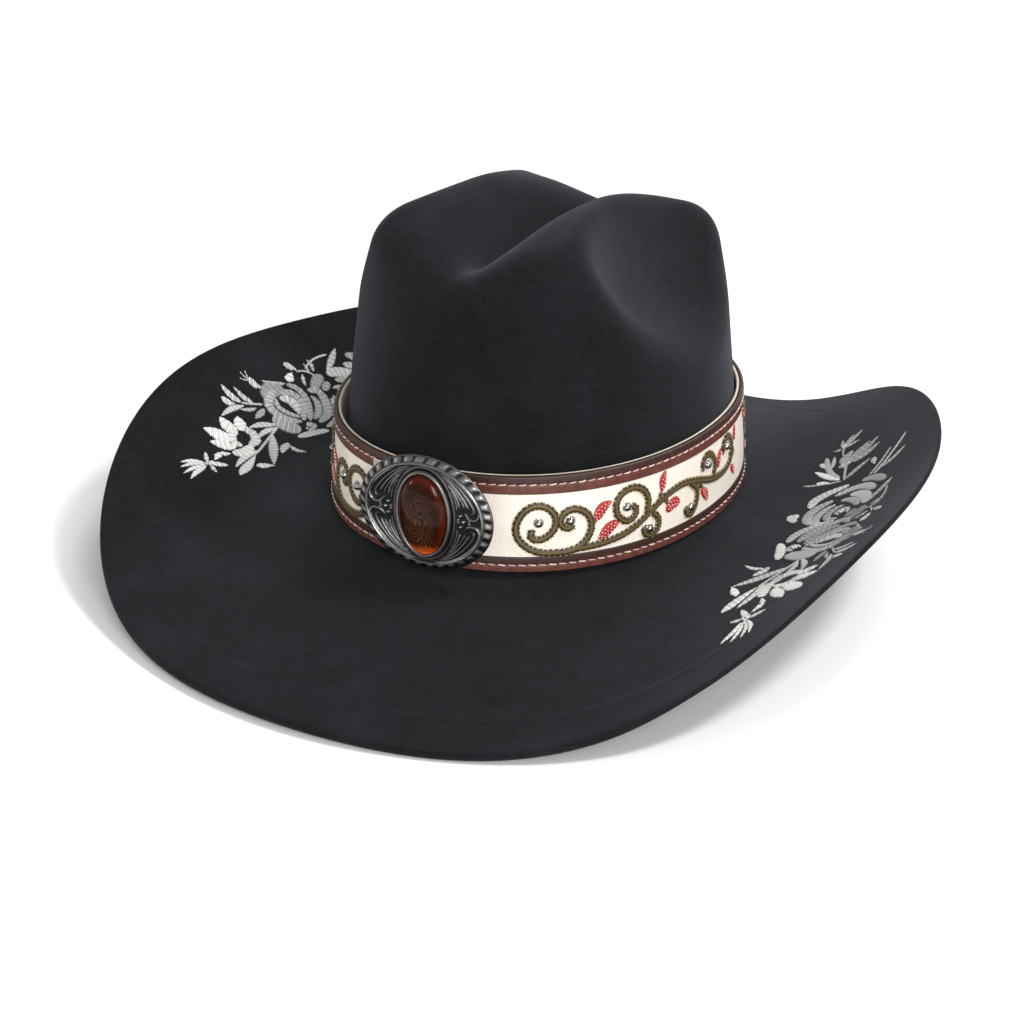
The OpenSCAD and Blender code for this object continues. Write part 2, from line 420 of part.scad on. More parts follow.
placed() crown_cover();
placed() crown_form();
placed() crown_lining();
placed() brim_top_skin();
placed() brim_core();
placed() brim_under_skin();
placed() brim_edge_stay();
placed() sweatband();
placed() sweatband_reed();
placed() sweatband_bow();
placed() rose_embroidery_left();
placed() rose_embroidery_right();
placed() band_strap();
placed() band_backing();
placed() band_trim_upper();
placed() band_trim_lower();
placed() stitching_upper();
placed() stitching_lower();
placed() vine_embroidery();
placed() leaf_embroidery();
placed() band_studs();
placed() strap_fold();
placed() fold_snaps();
placed() hook_eyelet();
placed() buckle_plate();
placed() stone_bezel();
placed() stone();
placed() buckle_bail();
placed() buckle_hook();
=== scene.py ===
"""Black suede western hat with a curled, embroidered brim and a lift-off
leather band carrying a hinged oval buckle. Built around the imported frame.
Lengths in the shape code are millimetres, +Z up, the front faces -Y."""
import bpy, math
import numpy as np
from mathutils import Matrix, Vector


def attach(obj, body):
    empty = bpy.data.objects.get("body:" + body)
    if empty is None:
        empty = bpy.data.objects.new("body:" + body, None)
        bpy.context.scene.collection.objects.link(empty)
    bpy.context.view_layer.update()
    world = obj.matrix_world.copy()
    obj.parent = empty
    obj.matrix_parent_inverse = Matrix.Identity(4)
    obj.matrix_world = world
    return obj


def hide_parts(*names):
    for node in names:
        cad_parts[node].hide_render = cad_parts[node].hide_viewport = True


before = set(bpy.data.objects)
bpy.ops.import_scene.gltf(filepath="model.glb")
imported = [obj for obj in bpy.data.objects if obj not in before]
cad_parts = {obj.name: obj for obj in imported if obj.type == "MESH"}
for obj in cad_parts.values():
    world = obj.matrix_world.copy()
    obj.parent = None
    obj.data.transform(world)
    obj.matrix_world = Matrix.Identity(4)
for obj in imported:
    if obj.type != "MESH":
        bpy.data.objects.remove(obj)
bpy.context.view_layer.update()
PI = math.pi
DEG = PI / 180.0

# ------------------------------------------------------------------ camera
cam_az, cam_el = 31.4 * DEG, 25.15 * DEG
c_back = Vector((math.sin(cam_az) * math.cos(cam_el), -math.cos(cam_az) * math.cos(cam_el), math.sin(cam_el)))
c_right = Vector((math.cos(cam_az), math.sin(cam_az), 0.0))
c_up = c_back.cross(c_right)
cam_data = bpy.data.cameras.new("camera")
cam_data.sensor_width = 36.0
cam_data.lens = 88.3125
cam_data.dof.use_dof = False
cam_data.clip_start = 0.05
cam_data.clip_end = 60.0
cam = bpy.data.objects.new("camera", cam_data)
bpy.context.scene.collection.objects.link(cam)
cam.matrix_world = Matrix((
    (c_right.x, c_up.x, c_back.x, 0.54893),
    (c_right.y, c_up.y, c_back.y, -0.92323),
    (c_right.z, c_up.z, c_back.z, 0.52045),
    (0, 0, 0, 1)))
bpy.context.scene.camera = cam

# ------------------------------------------------------------ shape helpers
def smax(a, b, k):
    h = np.maximum(k - np.abs(a - b), 0) / k
    return np.maximum(a, b) + h * h * k / 4


def ball(x, y, z, r):
    q = np.sqrt((x / r[0]) ** 2 + (y / r[1]) ** 2 + (z / r[2]) ** 2)
    g = np.sqrt((x / r[0] ** 2) ** 2 + (y / r[1] ** 2) ** 2 + (z / r[2] ** 2) ** 2)
    return q * (q - 1) / np.maximum(g, 1e-6)


def soft(z):
    d = np.asarray(z, float) - 62.9
    return 0.5 * (d + np.sqrt(d * d + 400))


def half_w(z):
    return 86.2 - 0.092 * soft(z)


def half_l(y, z):
    return np.where(np.asarray(y) < 0, 96.8 - 0.209 * soft(z), 101.0 - 0.109 * soft(z))


POW = 2.1


def crown_f(x, y, z):
    """The crown's outer surface is the zero level of this field, inside below 0."""
    q = ((np.abs(x) / half_w(z)) ** POW + (np.abs(y) / half_l(y, z)) ** POW) ** (1 / POW)
    wall = (q - 1) * (np.hypot(x, y) + 0.01) / (q + 0.0001)
    yy = y + 11.5
    top = (z - 171.6 + 0.0035 * yy * yy - 0.0021 * x * x) / np.sqrt(1 + (0.007 * yy) ** 2)
    body = smax(wall, top, 15)
    body = smax(body, -ball(x, y - 9.2, z - 190.3, (19.2, 112.6, 47.3)), 14)
    y2, z2 = y - 3.4, z - 202.0
    c, s = math.cos(-21.2 * DEG), math.sin(-21.2 * DEG)
    return smax(body, -ball(np.abs(x) - 109.0, c * y2 + s * z2, -s * y2 + c * z2, (73.9, 117.4, 95.3)), 9)


def cast(th, z0, el, off):
    th, z0, el = np.broadcast_arrays(np.asarray(th, float), np.asarray(z0, float), np.asarray(el, float))
    dx, dy, dz = np.sin(th) * np.cos(el), -np.cos(th) * np.cos(el), np.sin(el)
    lo, hi = np.zeros_like(th), np.full_like(th, 160.0)
    for _ in range(24):
        m = (lo + hi) / 2
        inside = crown_f(m * dx, m * dy, z0 + m * dz) < off
        lo, hi = np.where(inside, m, lo), np.where(inside, hi, m)
    m = (lo + hi) / 2
    return np.stack([m * dx, m * dy, z0 + m * dz], -1)


def polar_r(a, b, t):
    return 1 / ((np.abs(np.sin(t)) / a) ** POW + (np.abs(np.cos(t)) / b) ** POW) ** (1 / POW)


def inner_r(t):
    return polar_r(half_w(30.6), half_l(-np.cos(t), 30.6), t) + 0.15


def waves(t, c, s):
    return c[0] + sum(c[i] * np.cos(i * t) for i in range(1, 6)) + sum(s[i] * np.sin((i + 1) * t) for i in range(4))


def edge_r(t):
    return waves(t, (195.8, 6.6, 11.4, -4.0, 0.2, -0.8), (-0.7, -1.1, -1.7, 1.6))


def edge_z(t):
    return waves(t, (34.0, -12.7, -31.0, 8.0, -2.3, 5.3), (0.4, -3.1, 0, 0.8))


def brim_mid(t, s):
    ri = inner_r(t)
    r = ri + (edge_r(t) - ri) * s
    a = -42 + 4 * np.cos(2 * t)
    return np.stack([r * np.sin(t), -r * np.cos(t), 30.6 + a * s + (edge_z(t) - 30.6 - a) * s * s], -1)


def unit(v):
    return v / np.linalg.norm(v, axis=-1, keepdims=True)


def brim_n(t, s):
    return unit(np.cross(brim_mid(t, s + 0.01) - brim_mid(t, s - 0.01), brim_mid(t + 0.5 * DEG, s) - brim_mid(t - 0.5 * DEG, s)))


def brim_at(t, s, off):
    t, s, off = np.broadcast_arrays(np.asarray(t, float), np.asarray(s, float), np.asarray(off, float))
    w = np.minimum(1, 4 * s)[..., None]
    return brim_mid(t, s) + off[..., None] * unit(np.array([0, 0, 1.0]) * (1 - w) + w * brim_n(t, s))


def brim_xy(x, y, up):
    t = np.arctan2(x, -y)
    ri = inner_r(t)
    s = (np.hypot(x, y) - ri) / (edge_r(t) - ri)
    return brim_at(t, s, 2.0 + up)


_t = np.arange(48) * 7.5 * DEG
_rim = np.concatenate([brim_at(_t, 1.0, -2.0), brim_at(_t, 1.0, 2.0)])
SHIFT = np.array([-(_rim[:, 0].max() + _rim[:, 0].min()) / 2, -(_rim[:, 1].max() + _rim[:, 1].min()) / 2, -_rim[:, 2].min()])

BAND_Z, BAND_H, LEAN = 32.5, 44.5, 2.2
BAND_MID, BAND_TOP = BAND_Z + BAND_H / 2, BAND_Z + BAND_H


def band_at(t, z, d):
    """Point on the band: polar angle, height, distance out from its outer face."""
    t, z, d = np.broadcast_arrays(np.asarray(t, float), np.asarray(z, float), np.asarray(d, float))
    k = (z - BAND_Z) / BAND_H * LEAN
    a, b = 91.5 - k, 105.1 - k
    r = polar_r(a, b, t)
    x, y = r * np.sin(t), -r * np.cos(t)
    n = unit(np.stack([np.sign(x) * (np.abs(x) / a) ** (POW - 1) / a, np.sign(y) * (np.abs(y) / b) ** (POW - 1) / b], -1))
    return np.stack([x + d * n[..., 0], y + d * n[..., 1], z], -1)


BUCKLE_T = 4.5 * DEG
_at = BUCKLE_T + (np.arange(2881) - 1440) * 0.125 * DEG
_ap = band_at(_at, BAND_MID, 0)
_as = np.concatenate([[0], np.cumsum(np.linalg.norm(np.diff(_ap, axis=0), axis=1))])
_as -= _as[1440]


def arc_t(s):
    return np.interp(s, _as, _at)


def on_band(s, v, d):
    return band_at(arc_t(s), BAND_MID + np.asarray(v, float), d)


def belly(v):
    """The cream strap swells a little between its bindings."""
    return 0.28 * np.clip(1 - (np.asarray(v, float) / 14.5) ** 2, 0, 1)


# buckle local frame: X along the band, Y up, Z out
_p0 = band_at(BUCKLE_T, BAND_MID, 0)
_q0 = unit(band_at(BUCKLE_T, BAND_MID, 1) - _p0)
BX = np.array([-_q0[1], _q0[0], 0.0])
BY = np.array([0.0, 0.0, 1.0])
RISE, GAP = 5.2, 6.5


def buckle_pts(p):
    p = np.asarray(p, float)
    return _p0 + p[..., 0:1] * BX + (p[..., 1:2] + RISE) * BY + p[..., 2:3] * _q0


def spline(pts, step):
    """Catmull-Rom curve through the points, sampled at an even spacing."""
    p = np.asarray(pts, float)
    if len(p) == 2:
        dense = p[0] + (p[1] - p[0]) * np.linspace(0, 1, 24)[:, None]
    else:
        q = np.vstack([2 * p[0] - p[1], p, 2 * p[-1] - p[-2]])
        out = []
        u = np.linspace(0, 1, 20, endpoint=False)[:, None]
        for i in range(len(p) - 1):
            a, b, c, d = q[i], q[i + 1], q[i + 2], q[i + 3]
            out.append(0.5 * ((2 * b) + (c - a) * u + (2 * a - 5 * b + 4 * c - d) * u ** 2 + (3 * b - a - 3 * c + d) * u ** 3))
        dense = np.vstack(out + [p[-1:]])
    L = np.concatenate([[0], np.cumsum(np.linalg.norm(np.diff(dense, axis=0), axis=1))])
    n = max(3, int(round(L[-1] / step)) + 1)
    l = np.linspace(0, L[-1], n)
    return np.stack([np.interp(l, L, dense[:, k]) for k in range(p.shape[1])], -1), l


def grid_faces(m, n, wrap=True, loop=False, flip=False, start=0):
    """Quads of an m by n grid. wrap closes the n side, loop closes the m side."""
    i, j = np.meshgrid(np.arange(m if loop else m - 1), np.arange(n if wrap else n - 1), indexing="ij")
    a = i * n + j
    b = i * n + (j + 1) % n
    c = ((i + 1) % m) * n + (j + 1) % n
    d = ((i + 1) % m) * n + j
    f = np.stack([a, b, c, d] if not flip else [d, c, b, a], -1).reshape(-1, 4)
    return f + start


class Soup:
    """Collects verts, faces and a per-vertex tone for one mesh."""

    def __init__(self):
        self.v, self.f, self.tone, self.n = [], [], [], 0

    def add(self, v, faces, tone=0.5):
        v = np.asarray(v, float).reshape(-1, 3)
        self.v.append(v)
        for f in faces:
            self.f.extend((np.asarray(f) + self.n).tolist() if isinstance(f, np.ndarray) else [[k + self.n for k in f]])
        self.tone.append(np.broadcast_to(np.asarray(tone, float), (len(v),)))
        self.n += len(v)


def outward(me):
    import bmesh
    bm = bmesh.new()
    bm.from_mesh(me)
    bmesh.ops.recalc_face_normals(bm, faces=bm.faces)
    bm.to_mesh(me)
    bm.free()


def piece(name, soup, body, mat, replaces=(), smooth=True, fix=False, flip=False, placed=True):
    v = np.vstack(soup.v)
    if placed:
        v = v + SHIFT
    me = bpy.data.meshes.new(name)
    f = soup.f if not flip else [q[::-1] for q in soup.f]
    me.from_pydata((v * 0.001).tolist(), [], f)
    me.validate(clean_customdata=False)
    if fix:
        outward(me)
    tone = np.concatenate(soup.tone).astype(np.float32)
    at = me.attributes.new("tone", "FLOAT", "POINT")
    at.data.foreach_set("value", tone)
    me.polygons.foreach_set("use_smooth", np.full(len(me.polygons), smooth))
    for m in (mat if isinstance(mat, (list, tuple)) else [mat]):
        me.materials.append(m)
    me.update()
    o = bpy.data.objects.new(name, me)
    bpy.context.scene.collection.objects.link(o)
    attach(o, body)
    if replaces:
        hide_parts(*replaces)
    return o


def tube(soup, centre, normal, side, radius, n=8, tone=0.5, cap=True):
    """Round tube along centre (k,3), with frame vectors normal and side and a radius each step."""
    k = len(centre)
    a = np.arange(n) * 2 * PI / n
    r = np.broadcast_to(np.asarray(radius, float), (k,))[:, None, None]
    ring = centre[:, None, :] + r * (np.cos(a)[None, :, None] * side[:, None, :] + np.sin(a)[None, :, None] * normal[:, None, :])
    faces = [grid_faces(k, n, wrap=True)]
    v = ring.reshape(-1, 3)
    if cap:
        faces += [list(range(n))[::-1], [(k - 1) * n + i for i in range(n)]]
    tt = np.broadcast_to(np.asarray(tone, float), (k,))
    soup.add(v, faces, np.repeat(tt, n))


_sph = []
for _i in range(1, 5):
    for _j in range(8):
        _e, _a = PI * _i / 5, 2 * PI * _j / 8
        _sph.append((math.sin(_e) * math.cos(_a), math.sin(_e) * math.sin(_a), math.cos(_e)))
_sph += [(0, 0, 1), (0, 0, -1)]
_sph = np.array(_sph)
_sphf = [grid_faces(4, 8, wrap=True, flip=True)] + [[32, i, (i + 1) % 8] for i in range(8)] + [[33, 24 + (i + 1) % 8, 24 + i] for i in range(8)]


def grain_blob(soup, c, ax, ay, az, tone):
    """Small ellipsoid stitch, its three half axes as vectors."""
    soup.add(c + _sph[:, 0:1] * ax + _sph[:, 1:2] * ay + _sph[:, 2:3] * az, _sphf, tone)


# --------------------------------------------------------------- materials
def mat_new(name, **sockets):
    m = bpy.data.materials.new(name)
    m.use_nodes = True
    nt = m.node_tree
    b = nt.nodes["Principled BSDF"]
    for k, v in sockets.items():
        b.inputs[k.replace("_", " ")].default_value = v
    return m, nt, b


def add(nt, kind, ins=None, **props):
    n = nt.nodes.new(kind)
    for k, v in props.items():
        setattr(n, k, v)
    for k, v in (ins or {}).items():
        if isinstance(v, bpy.types.NodeSocket):
            nt.links.new(v, n.inputs[k])
        else:
            n.inputs[k].default_value = v
    return n


def coords(nt, scale=(1, 1, 1)):
    tc = add(nt, "ShaderNodeTexCoord")
    if scale == (1, 1, 1):
        return tc.outputs["Object"]
    return add(nt, "ShaderNodeMapping", {"Vector": tc.outputs["Object"], "Scale": scale}).outputs["Vector"]


def noise(nt, vec, scale, detail=3.0, rough=0.55, dist=0.0):
    return add(nt, "ShaderNodeTexNoise", {"Vector": vec, "Scale": scale, "Detail": detail, "Roughness": rough, "Distortion": dist}).outputs["Fac"]


def voro(nt, vec, scale, feature="F1"):
    return add(nt, "ShaderNodeTexVoronoi", {"Vector": vec, "Scale": scale}, feature=feature).outputs["Distance"]


def ramp(nt, fac, stops):
    n = add(nt, "ShaderNodeValToRGB", {"Fac": fac})
    e = n.color_ramp.elements
    e[0].position, e[0].color = stops[0][0], (*stops[0][1], 1)
    e[1].position, e[1].color = stops[-1][0], (*stops[-1][1], 1)
    for p, c in stops[1:-1]:
        k = e.new(p)
        k.color = (*c, 1)
    return n.outputs["Color"]


def mathn(nt, op, a, b=0.0, c=0.0, clamp=False):
    return add(nt, "ShaderNodeMath", {0: a, 1: b, 2: c}, operation=op, use_clamp=clamp).outputs["Value"]


def mixc(nt, fac, a, b, blend="MIX"):
    n = nt.nodes.new("ShaderNodeMix")
    n.data_type = "RGBA"
    n.blend_type = blend
    for i, v in ((0, fac), (6, a), (7, b)):
        if isinstance(v, bpy.types.NodeSocket):
            nt.links.new(v, n.inputs[i])
        elif i == 0:
            n.inputs[i].default_value = v
        else:
            n.inputs[i].default_value = (*v, 1)
    return n.outputs[2]


def tone_of(nt):
    return add(nt, "ShaderNodeAttribute", attribute_name="tone").outputs["Fac"]


def bump(nt, bsdf, height, strength, distance):
    n = add(nt, "ShaderNodeBump", {"Height": height, "Strength": strength, "Distance": distance})
    nt.links.new(n.outputs["Normal"], bsdf.inputs["Normal"])
    return n


def grey(v, tint=(1, 1, 1)):
    return tuple(v * t for t in tint)


def suede(name, dark, light, sheen, tint=(0.80, 0.86, 1.0)):
    m, nt, b = mat_new(name, Roughness=0.92, Sheen_Weight=sheen, Sheen_Roughness=0.42, Sheen_Tint=(*tint, 1), Specular_IOR_Level=0.12)
    v = coords(nt)
    broad = noise(nt, v, 22, 4, 0.6, 0.4)
    nap = noise(nt, v, 1150, 3, 0.75)
    brushed = noise(nt, coords(nt, (1.0, 1.0, 5.0)), 130, 3, 0.6, 0.6)
    k = mathn(nt, "ADD", mathn(nt, "MULTIPLY", broad, 0.36), mathn(nt, "ADD", mathn(nt, "MULTIPLY", nap, 0.46), mathn(nt, "MULTIPLY", brushed, 0.18)))
    col = ramp(nt, k, [(0.38, dark), (0.64, light)])
    # a few specks of pale lint caught in the nap
    speck = add(nt, "ShaderNodeTexVoronoi", {"Vector": v, "Scale": 95.0, "Randomness": 1.0})
    near = mathn(nt, "LESS_THAN", speck.outputs["Distance"], 0.026)
    few = mathn(nt, "GREATER_THAN", add(nt, "ShaderNodeSeparateColor", {"Color": speck.outputs["Color"]}).outputs[0], 0.88)
    col = mixc(nt, mathn(nt, "MULTIPLY", mathn(nt, "MULTIPLY", near, few), 0.55), col, (0.17, 0.17, 0.18))
    nt.links.new(col, b.inputs["Base Color"])
    h = mathn(nt, "ADD", mathn(nt, "MULTIPLY", nap, 0.6), mathn(nt, "MULTIPLY", noise(nt, v, 1500, 2, 0.6), 0.4))
    bump(nt, b, h, 0.75, 0.0005)
    return m


M_SUEDE = suede("suede_black", (0.0030, 0.0030, 0.0040), (0.0135, 0.0137, 0.0172), 0.105)
M_SUEDE_UNDER = suede("suede_underside", (0.0055, 0.0054, 0.0064), (0.0115, 0.0114, 0.0135), 0.06)

M_FELT, nt, b = mat_new("stiff_felt", Roughness=0.95)
v = coords(nt)
nt.links.new(ramp(nt, noise(nt, v, 300, 5, 0.7), [(0.3, (0.030, 0.030, 0.032)), (0.7, (0.060, 0.060, 0.064))]), b.inputs["Base Color"])
bump(nt, b, noise(nt, v, 900, 4, 0.7), 0.5, 0.0006)

M_SATIN, nt, b = mat_new("satin_lining", Roughness=0.34, Sheen_Weight=0.2, Anisotropic=0.5)
v = coords(nt)
weave = add(nt, "ShaderNodeTexWave", {"Vector": v, "Scale": 900.0, "Distortion": 0.6, "Detail": 1.0}, bands_direction="Z").outputs["Fac"]
nt.links.new(ramp(nt, noise(nt, v, 40, 3), [(0.3, (0.012, 0.011, 0.013)), (0.7, (0.024, 0.021, 0.026))]), b.inputs["Base Color"])
nt.links.new(mathn(nt, "ADD", mathn(nt, "MULTIPLY", weave, 0.10), 0.30), b.inputs["Roughness"])
bump(nt, b, weave, 0.18, 0.0002)


def leather(name, lo, hi, rough, pebble=850, strength=0.5, coat=0.0, crease=0.3, dist=0.00035):
    m, nt, b = mat_new(name, Coat_Weight=coat, Coat_Roughness=0.35, Specular_IOR_Level=0.5)
    v = coords(nt)
    warp = add(nt, "ShaderNodeVectorMath", {0: v, 1: add(nt, "ShaderNodeVectorMath", {0: add(nt, "ShaderNodeTexNoise", {"Vector": v, "Scale": 320.0}).outputs["Color"], 3: 0.0008}, operation="SCALE").outputs[0]}, operation="ADD").outputs[0]
    cell = voro(nt, warp, pebble, "DISTANCE_TO_EDGE")
    cells = mathn(nt, "MULTIPLY", cell, 4.0, clamp=True)
    fold = noise(nt, v, 170, 4, 0.6, 0.8)
    pore = noise(nt, v, 1700, 3, 0.6)
    k = mathn(nt, "ADD", mathn(nt, "MULTIPLY", cells, 0.35), mathn(nt, "ADD", mathn(nt, "MULTIPLY", fold, 0.45), mathn(nt, "MULTIPLY", pore, 0.2)))
    nt.links.new(ramp(nt, k, [(0.25, lo), (0.75, hi)]), b.inputs["Base Color"])
    nt.links.new(mathn(nt, "ADD", rough, mathn(nt, "MULTIPLY", pore, 0.14)), b.inputs["Roughness"])
    h = mathn(nt, "ADD", mathn(nt, "MULTIPLY", cells, 1 - crease), mathn(nt, "MULTIPLY", fold, crease * 2.0))
    bump(nt, b, h, strength, dist)
    return m, nt, b


M_CREAM, _, _ = leather("cream_pebbled_leather", (0.84, 0.755, 0.655), (0.95, 0.895, 0.815), 0.40, 900, 0.38)
M_BACK, _, _ = leather("backing_leather", (0.50, 0.46, 0.36), (0.66, 0.62, 0.52), 0.62, 1500, 0.35)
M_SWEAT, _, _ = leather("sweatband_leather", (0.030, 0.019, 0.013), (0.060, 0.036, 0.024), 0.38, 1100, 0.30, 0.15)
M_REED, _, _ = leather("reed_leather", (0.022, 0.014, 0.010), (0.040, 0.026, 0.018), 0.42, 1300, 0.30, 0.1)

# brown binding: darker where it turns over the edge, redder on the flat
M_BROWN, nt, b = mat_new("brown_binding_leather", Coat_Weight=0.06, Coat_Roughness=0.3, Specular_IOR_Level=0.36)
v = coords(nt)
tn = tone_of(nt)
rub = noise(nt, v, 260, 4, 0.65, 0.5)
pore = noise(nt, v, 1500, 3, 0.6)
dark = ramp(nt, rub, [(0.3, (0.024, 0.0115, 0.0095)), (0.7, (0.050, 0.022, 0.018))])
red = ramp(nt, rub, [(0.25, (0.088, 0.025, 0.017)), (0.55, (0.150, 0.048, 0.033)), (0.8, (0.225, 0.088, 0.064))])
col = mixc(nt, tn, dark, red)
nt.links.new(mixc(nt, mathn(nt, "MULTIPLY", pore, 0.30), col, (0.02, 0.008, 0.006)), b.inputs["Base Color"])
nt.links.new(mathn(nt, "ADD", 0.33, mathn(nt, "MULTIPLY", pore, 0.2)), b.inputs["Roughness"])
wr = noise(nt, coords(nt, (1.0, 1.0, 0.22)), 900, 3, 0.6, 0.3)
bump(nt, b, mathn(nt, "ADD", wr, mathn(nt, "MULTIPLY", pore, 0.4)), 0.55, 0.0003)


def thread(name, stops, rough=0.42, sheen=0.3, spec=0.5, scale=2600):
    """Lustrous embroidery thread. tone picks the colour along the ramp, and with it any sheen, highlight or shade that
    a piece paints into its tone; fine twist lines break the gloss.
    """
    m, nt, b = mat_new(name, Sheen_Weight=sheen, Sheen_Roughness=0.35, Specular_IOR_Level=spec)
    v = coords(nt)
    fibre = noise(nt, v, scale, 2, 0.6)
    var = noise(nt, v, 420, 3, 0.6)
    t = mathn(nt, "ADD", tone_of(nt), mathn(nt, "MULTIPLY", mathn(nt, "SUBTRACT", mathn(nt, "ADD", mathn(nt, "MULTIPLY", fibre, 0.5), mathn(nt, "MULTIPLY", var, 0.5)), 0.5), 0.30))
    nt.links.new(ramp(nt, t, stops), b.inputs["Base Color"])
    nt.links.new(mathn(nt, "ADD", rough, mathn(nt, "MULTIPLY", fibre, 0.15)), b.inputs["Roughness"])
    bump(nt, b, fibre, 0.35, 0.00025)
    return m


M_SILVER = thread("silver_satin_thread", [(0.0, (0.07, 0.073, 0.074)), (0.5, (0.24, 0.25, 0.245)), (1.0, (0.76, 0.77, 0.75))], 0.34, 0.10)
M_PINK = thread("pink_white_thread", [(0.0, (0.34, 0.17, 0.15)), (0.5, (0.60, 0.40, 0.37)), (1.0, (0.88, 0.80, 0.76))], 0.5)
M_OLIVE = thread("olive_gold_thread", [(0.0, (0.010, 0.007, 0.003)), (0.35, (0.042, 0.028, 0.008)), (0.65, (0.15, 0.105, 0.030)), (1.0, (0.46, 0.36, 0.15))], 0.34, 0.1)
M_RED = thread("red_thread", [(0.0, (0.13, 0.004, 0.004)), (0.4, (0.50, 0.013, 0.012)), (0.7, (0.80, 0.20, 0.17)), (1.0, (0.92, 0.72, 0.68))], 0.38)
M_DARKTHREAD = thread("black_thread", [(0.0, (0.008, 0.008, 0.009)), (0.5, (0.02, 0.02, 0.022)), (1.0, (0.05, 0.05, 0.052))], 0.5)


def metal(name, lo, hi, rough, aniso=0.0, patina=True, scratch=0.25):
    m, nt, b = mat_new(name, Metallic=1.0, Anisotropic=aniso)
    v = coords(nt)
    wear = noise(nt, v, 240, 5, 0.65, 0.3)
    fine = noise(nt, v, 1400, 3, 0.6)
    t = mathn(nt, "ADD", tone_of(nt) if patina else 0.8, mathn(nt, "MULTIPLY", mathn(nt, "SUBTRACT", wear, 0.5), 0.45), clamp=True)
    nt.links.new(ramp(nt, t, [(0.05, lo), (0.9, hi)]), b.inputs["Base Color"])
    r = mathn(nt, "ADD", rough, mathn(nt, "ADD", mathn(nt, "MULTIPLY", fine, 0.12), mathn(nt, "MULTIPLY", mathn(nt, "SUBTRACT", 1.0, t), 0.22 if patina else 0.0)))
    nt.links.new(r, b.inputs["Roughness"])
    bump(nt, b, mathn(nt, "ADD", fine, wear), scratch, 0.00012)
    return m


M_PEWTER = metal("aged_pewter", (0.026, 0.025, 0.025), (0.25, 0.245, 0.24), 0.21)
M_STUD = metal("stud_steel", (0.10, 0.10, 0.10), (0.42, 0.41, 0.40), 0.09, patina=False, scratch=0.1)
M_STEEL = metal("bright_steel", (0.30, 0.29, 0.27), (0.66, 0.64, 0.61), 0.20, patina=False)
M_WIRE = metal("dark_wire_steel", (0.10, 0.10, 0.11), (0.30, 0.30, 0.32), 0.26, patina=False)

M_RIBBON, nt, b = mat_new("bow_ribbon", Roughness=0.4, Sheen_Weight=0.3)
v = coords(nt)
rib = add(nt, "ShaderNodeTexWave", {"Vector": v, "Scale": 700.0, "Distortion": 0.4}, bands_direction="X").outputs["Fac"]
nt.links.new(ramp(nt, rib, [(0.2, (0.012, 0.010, 0.010)), (0.8, (0.035, 0.028, 0.027))]), b.inputs["Base Color"])
bump(nt, b, rib, 0.4, 0.0003)

# amber: deep brown-red, with thin growth lines and a painted orange glow at its lower end, where light would gather
# inside the stone; the glow is painted into the base colour and also emitted
M_AMBER, nt, b = mat_new("amber_stone", Roughness=0.05, Coat_Weight=0.07, Coat_Roughness=0.02, Specular_IOR_Level=0.16, IOR=1.36)
loc = add(nt, "ShaderNodeAttribute", attribute_name="local").outputs["Vector"]
sep = add(nt, "ShaderNodeSeparateXYZ", {"Vector": loc})
lx, ly = sep.outputs["X"], sep.outputs["Y"]
wob = noise(nt, loc, 1.7, 4, 0.6, 0.6)
rx = mathn(nt, "MULTIPLY", lx, 1.25)
ry = mathn(nt, "ADD", ly, 0.30)
rad = mathn(nt, "SQRT", mathn(nt, "ADD", mathn(nt, "POWER", rx, 2.0), mathn(nt, "POWER", ry, 2.0)))
ringv = mathn(nt, "ADD", mathn(nt, "MULTIPLY", rad, 30.0), mathn(nt, "MULTIPLY", wob, 26.0))
rings = mathn(nt, "POWER", mathn(nt, "ABSOLUTE", mathn(nt, "SINE", ringv)), 7.0)
inner = ramp(nt, rad, [(0.05, (1, 1, 1)), (0.62, (0.75, 0.75, 0.75)), (0.92, (0, 0, 0))])
body = ramp(nt, wob, [(0.30, (0.008, 0.0022, 0.0013)), (0.55, (0.021, 0.0048, 0.0020)), (0.78, (0.048, 0.011, 0.0035))])
# painted glow: the stone's colour lightens to orange towards its lower end, standing in for light gathered inside it
painted_glow = ramp(nt, mathn(nt, "ADD", mathn(nt, "MULTIPLY", ly, -1.0), mathn(nt, "MULTIPLY", mathn(nt, "SUBTRACT", wob, 0.5), 0.35)),
            [(0.68, (0, 0, 0)), (0.84, (0.40, 0.40, 0.40)), (0.93, (1, 1, 1)), (0.99, (0.25, 0.25, 0.25))])
edge = mathn(nt, "SQRT", mathn(nt, "ADD", mathn(nt, "POWER", lx, 2.0), mathn(nt, "POWER", ly, 2.0)))
rimred = ramp(nt, edge, [(0.80, (0, 0, 0)), (0.92, (0.55, 0.55, 0.55)), (1.0, (0.15, 0.15, 0.15))])
c1 = mixc(nt, mathn(nt, "MULTIPLY", mathn(nt, "MULTIPLY", rings, 0.24), inner), body, (0.30, 0.15, 0.085))
c2 = mixc(nt, mathn(nt, "MULTIPLY", rimred, 0.8), c1, (0.12, 0.011, 0.004))
c3 = mixc(nt, painted_glow, c2, (0.78, 0.135, 0.012))
nt.links.new(c3, b.inputs["Base Color"])
# the painted glow is also emitted, so the stone's lower end glows without a lamp
painted_glow_emission = mixc(nt, painted_glow, (0.004, 0.0008, 0.0003), (0.42, 0.062, 0.004))
nt.links.new(painted_glow_emission, b.inputs["Emission Color"])
b.inputs["Emission Strength"].default_value = 0.55
bump(nt, b, noise(nt, coords(nt), 90, 2, 0.5), 0.05, 0.0004)


# ------------------------------------------------------------------- crown
NTH = 384
th = np.arange(NTH) * 2 * PI / NTH


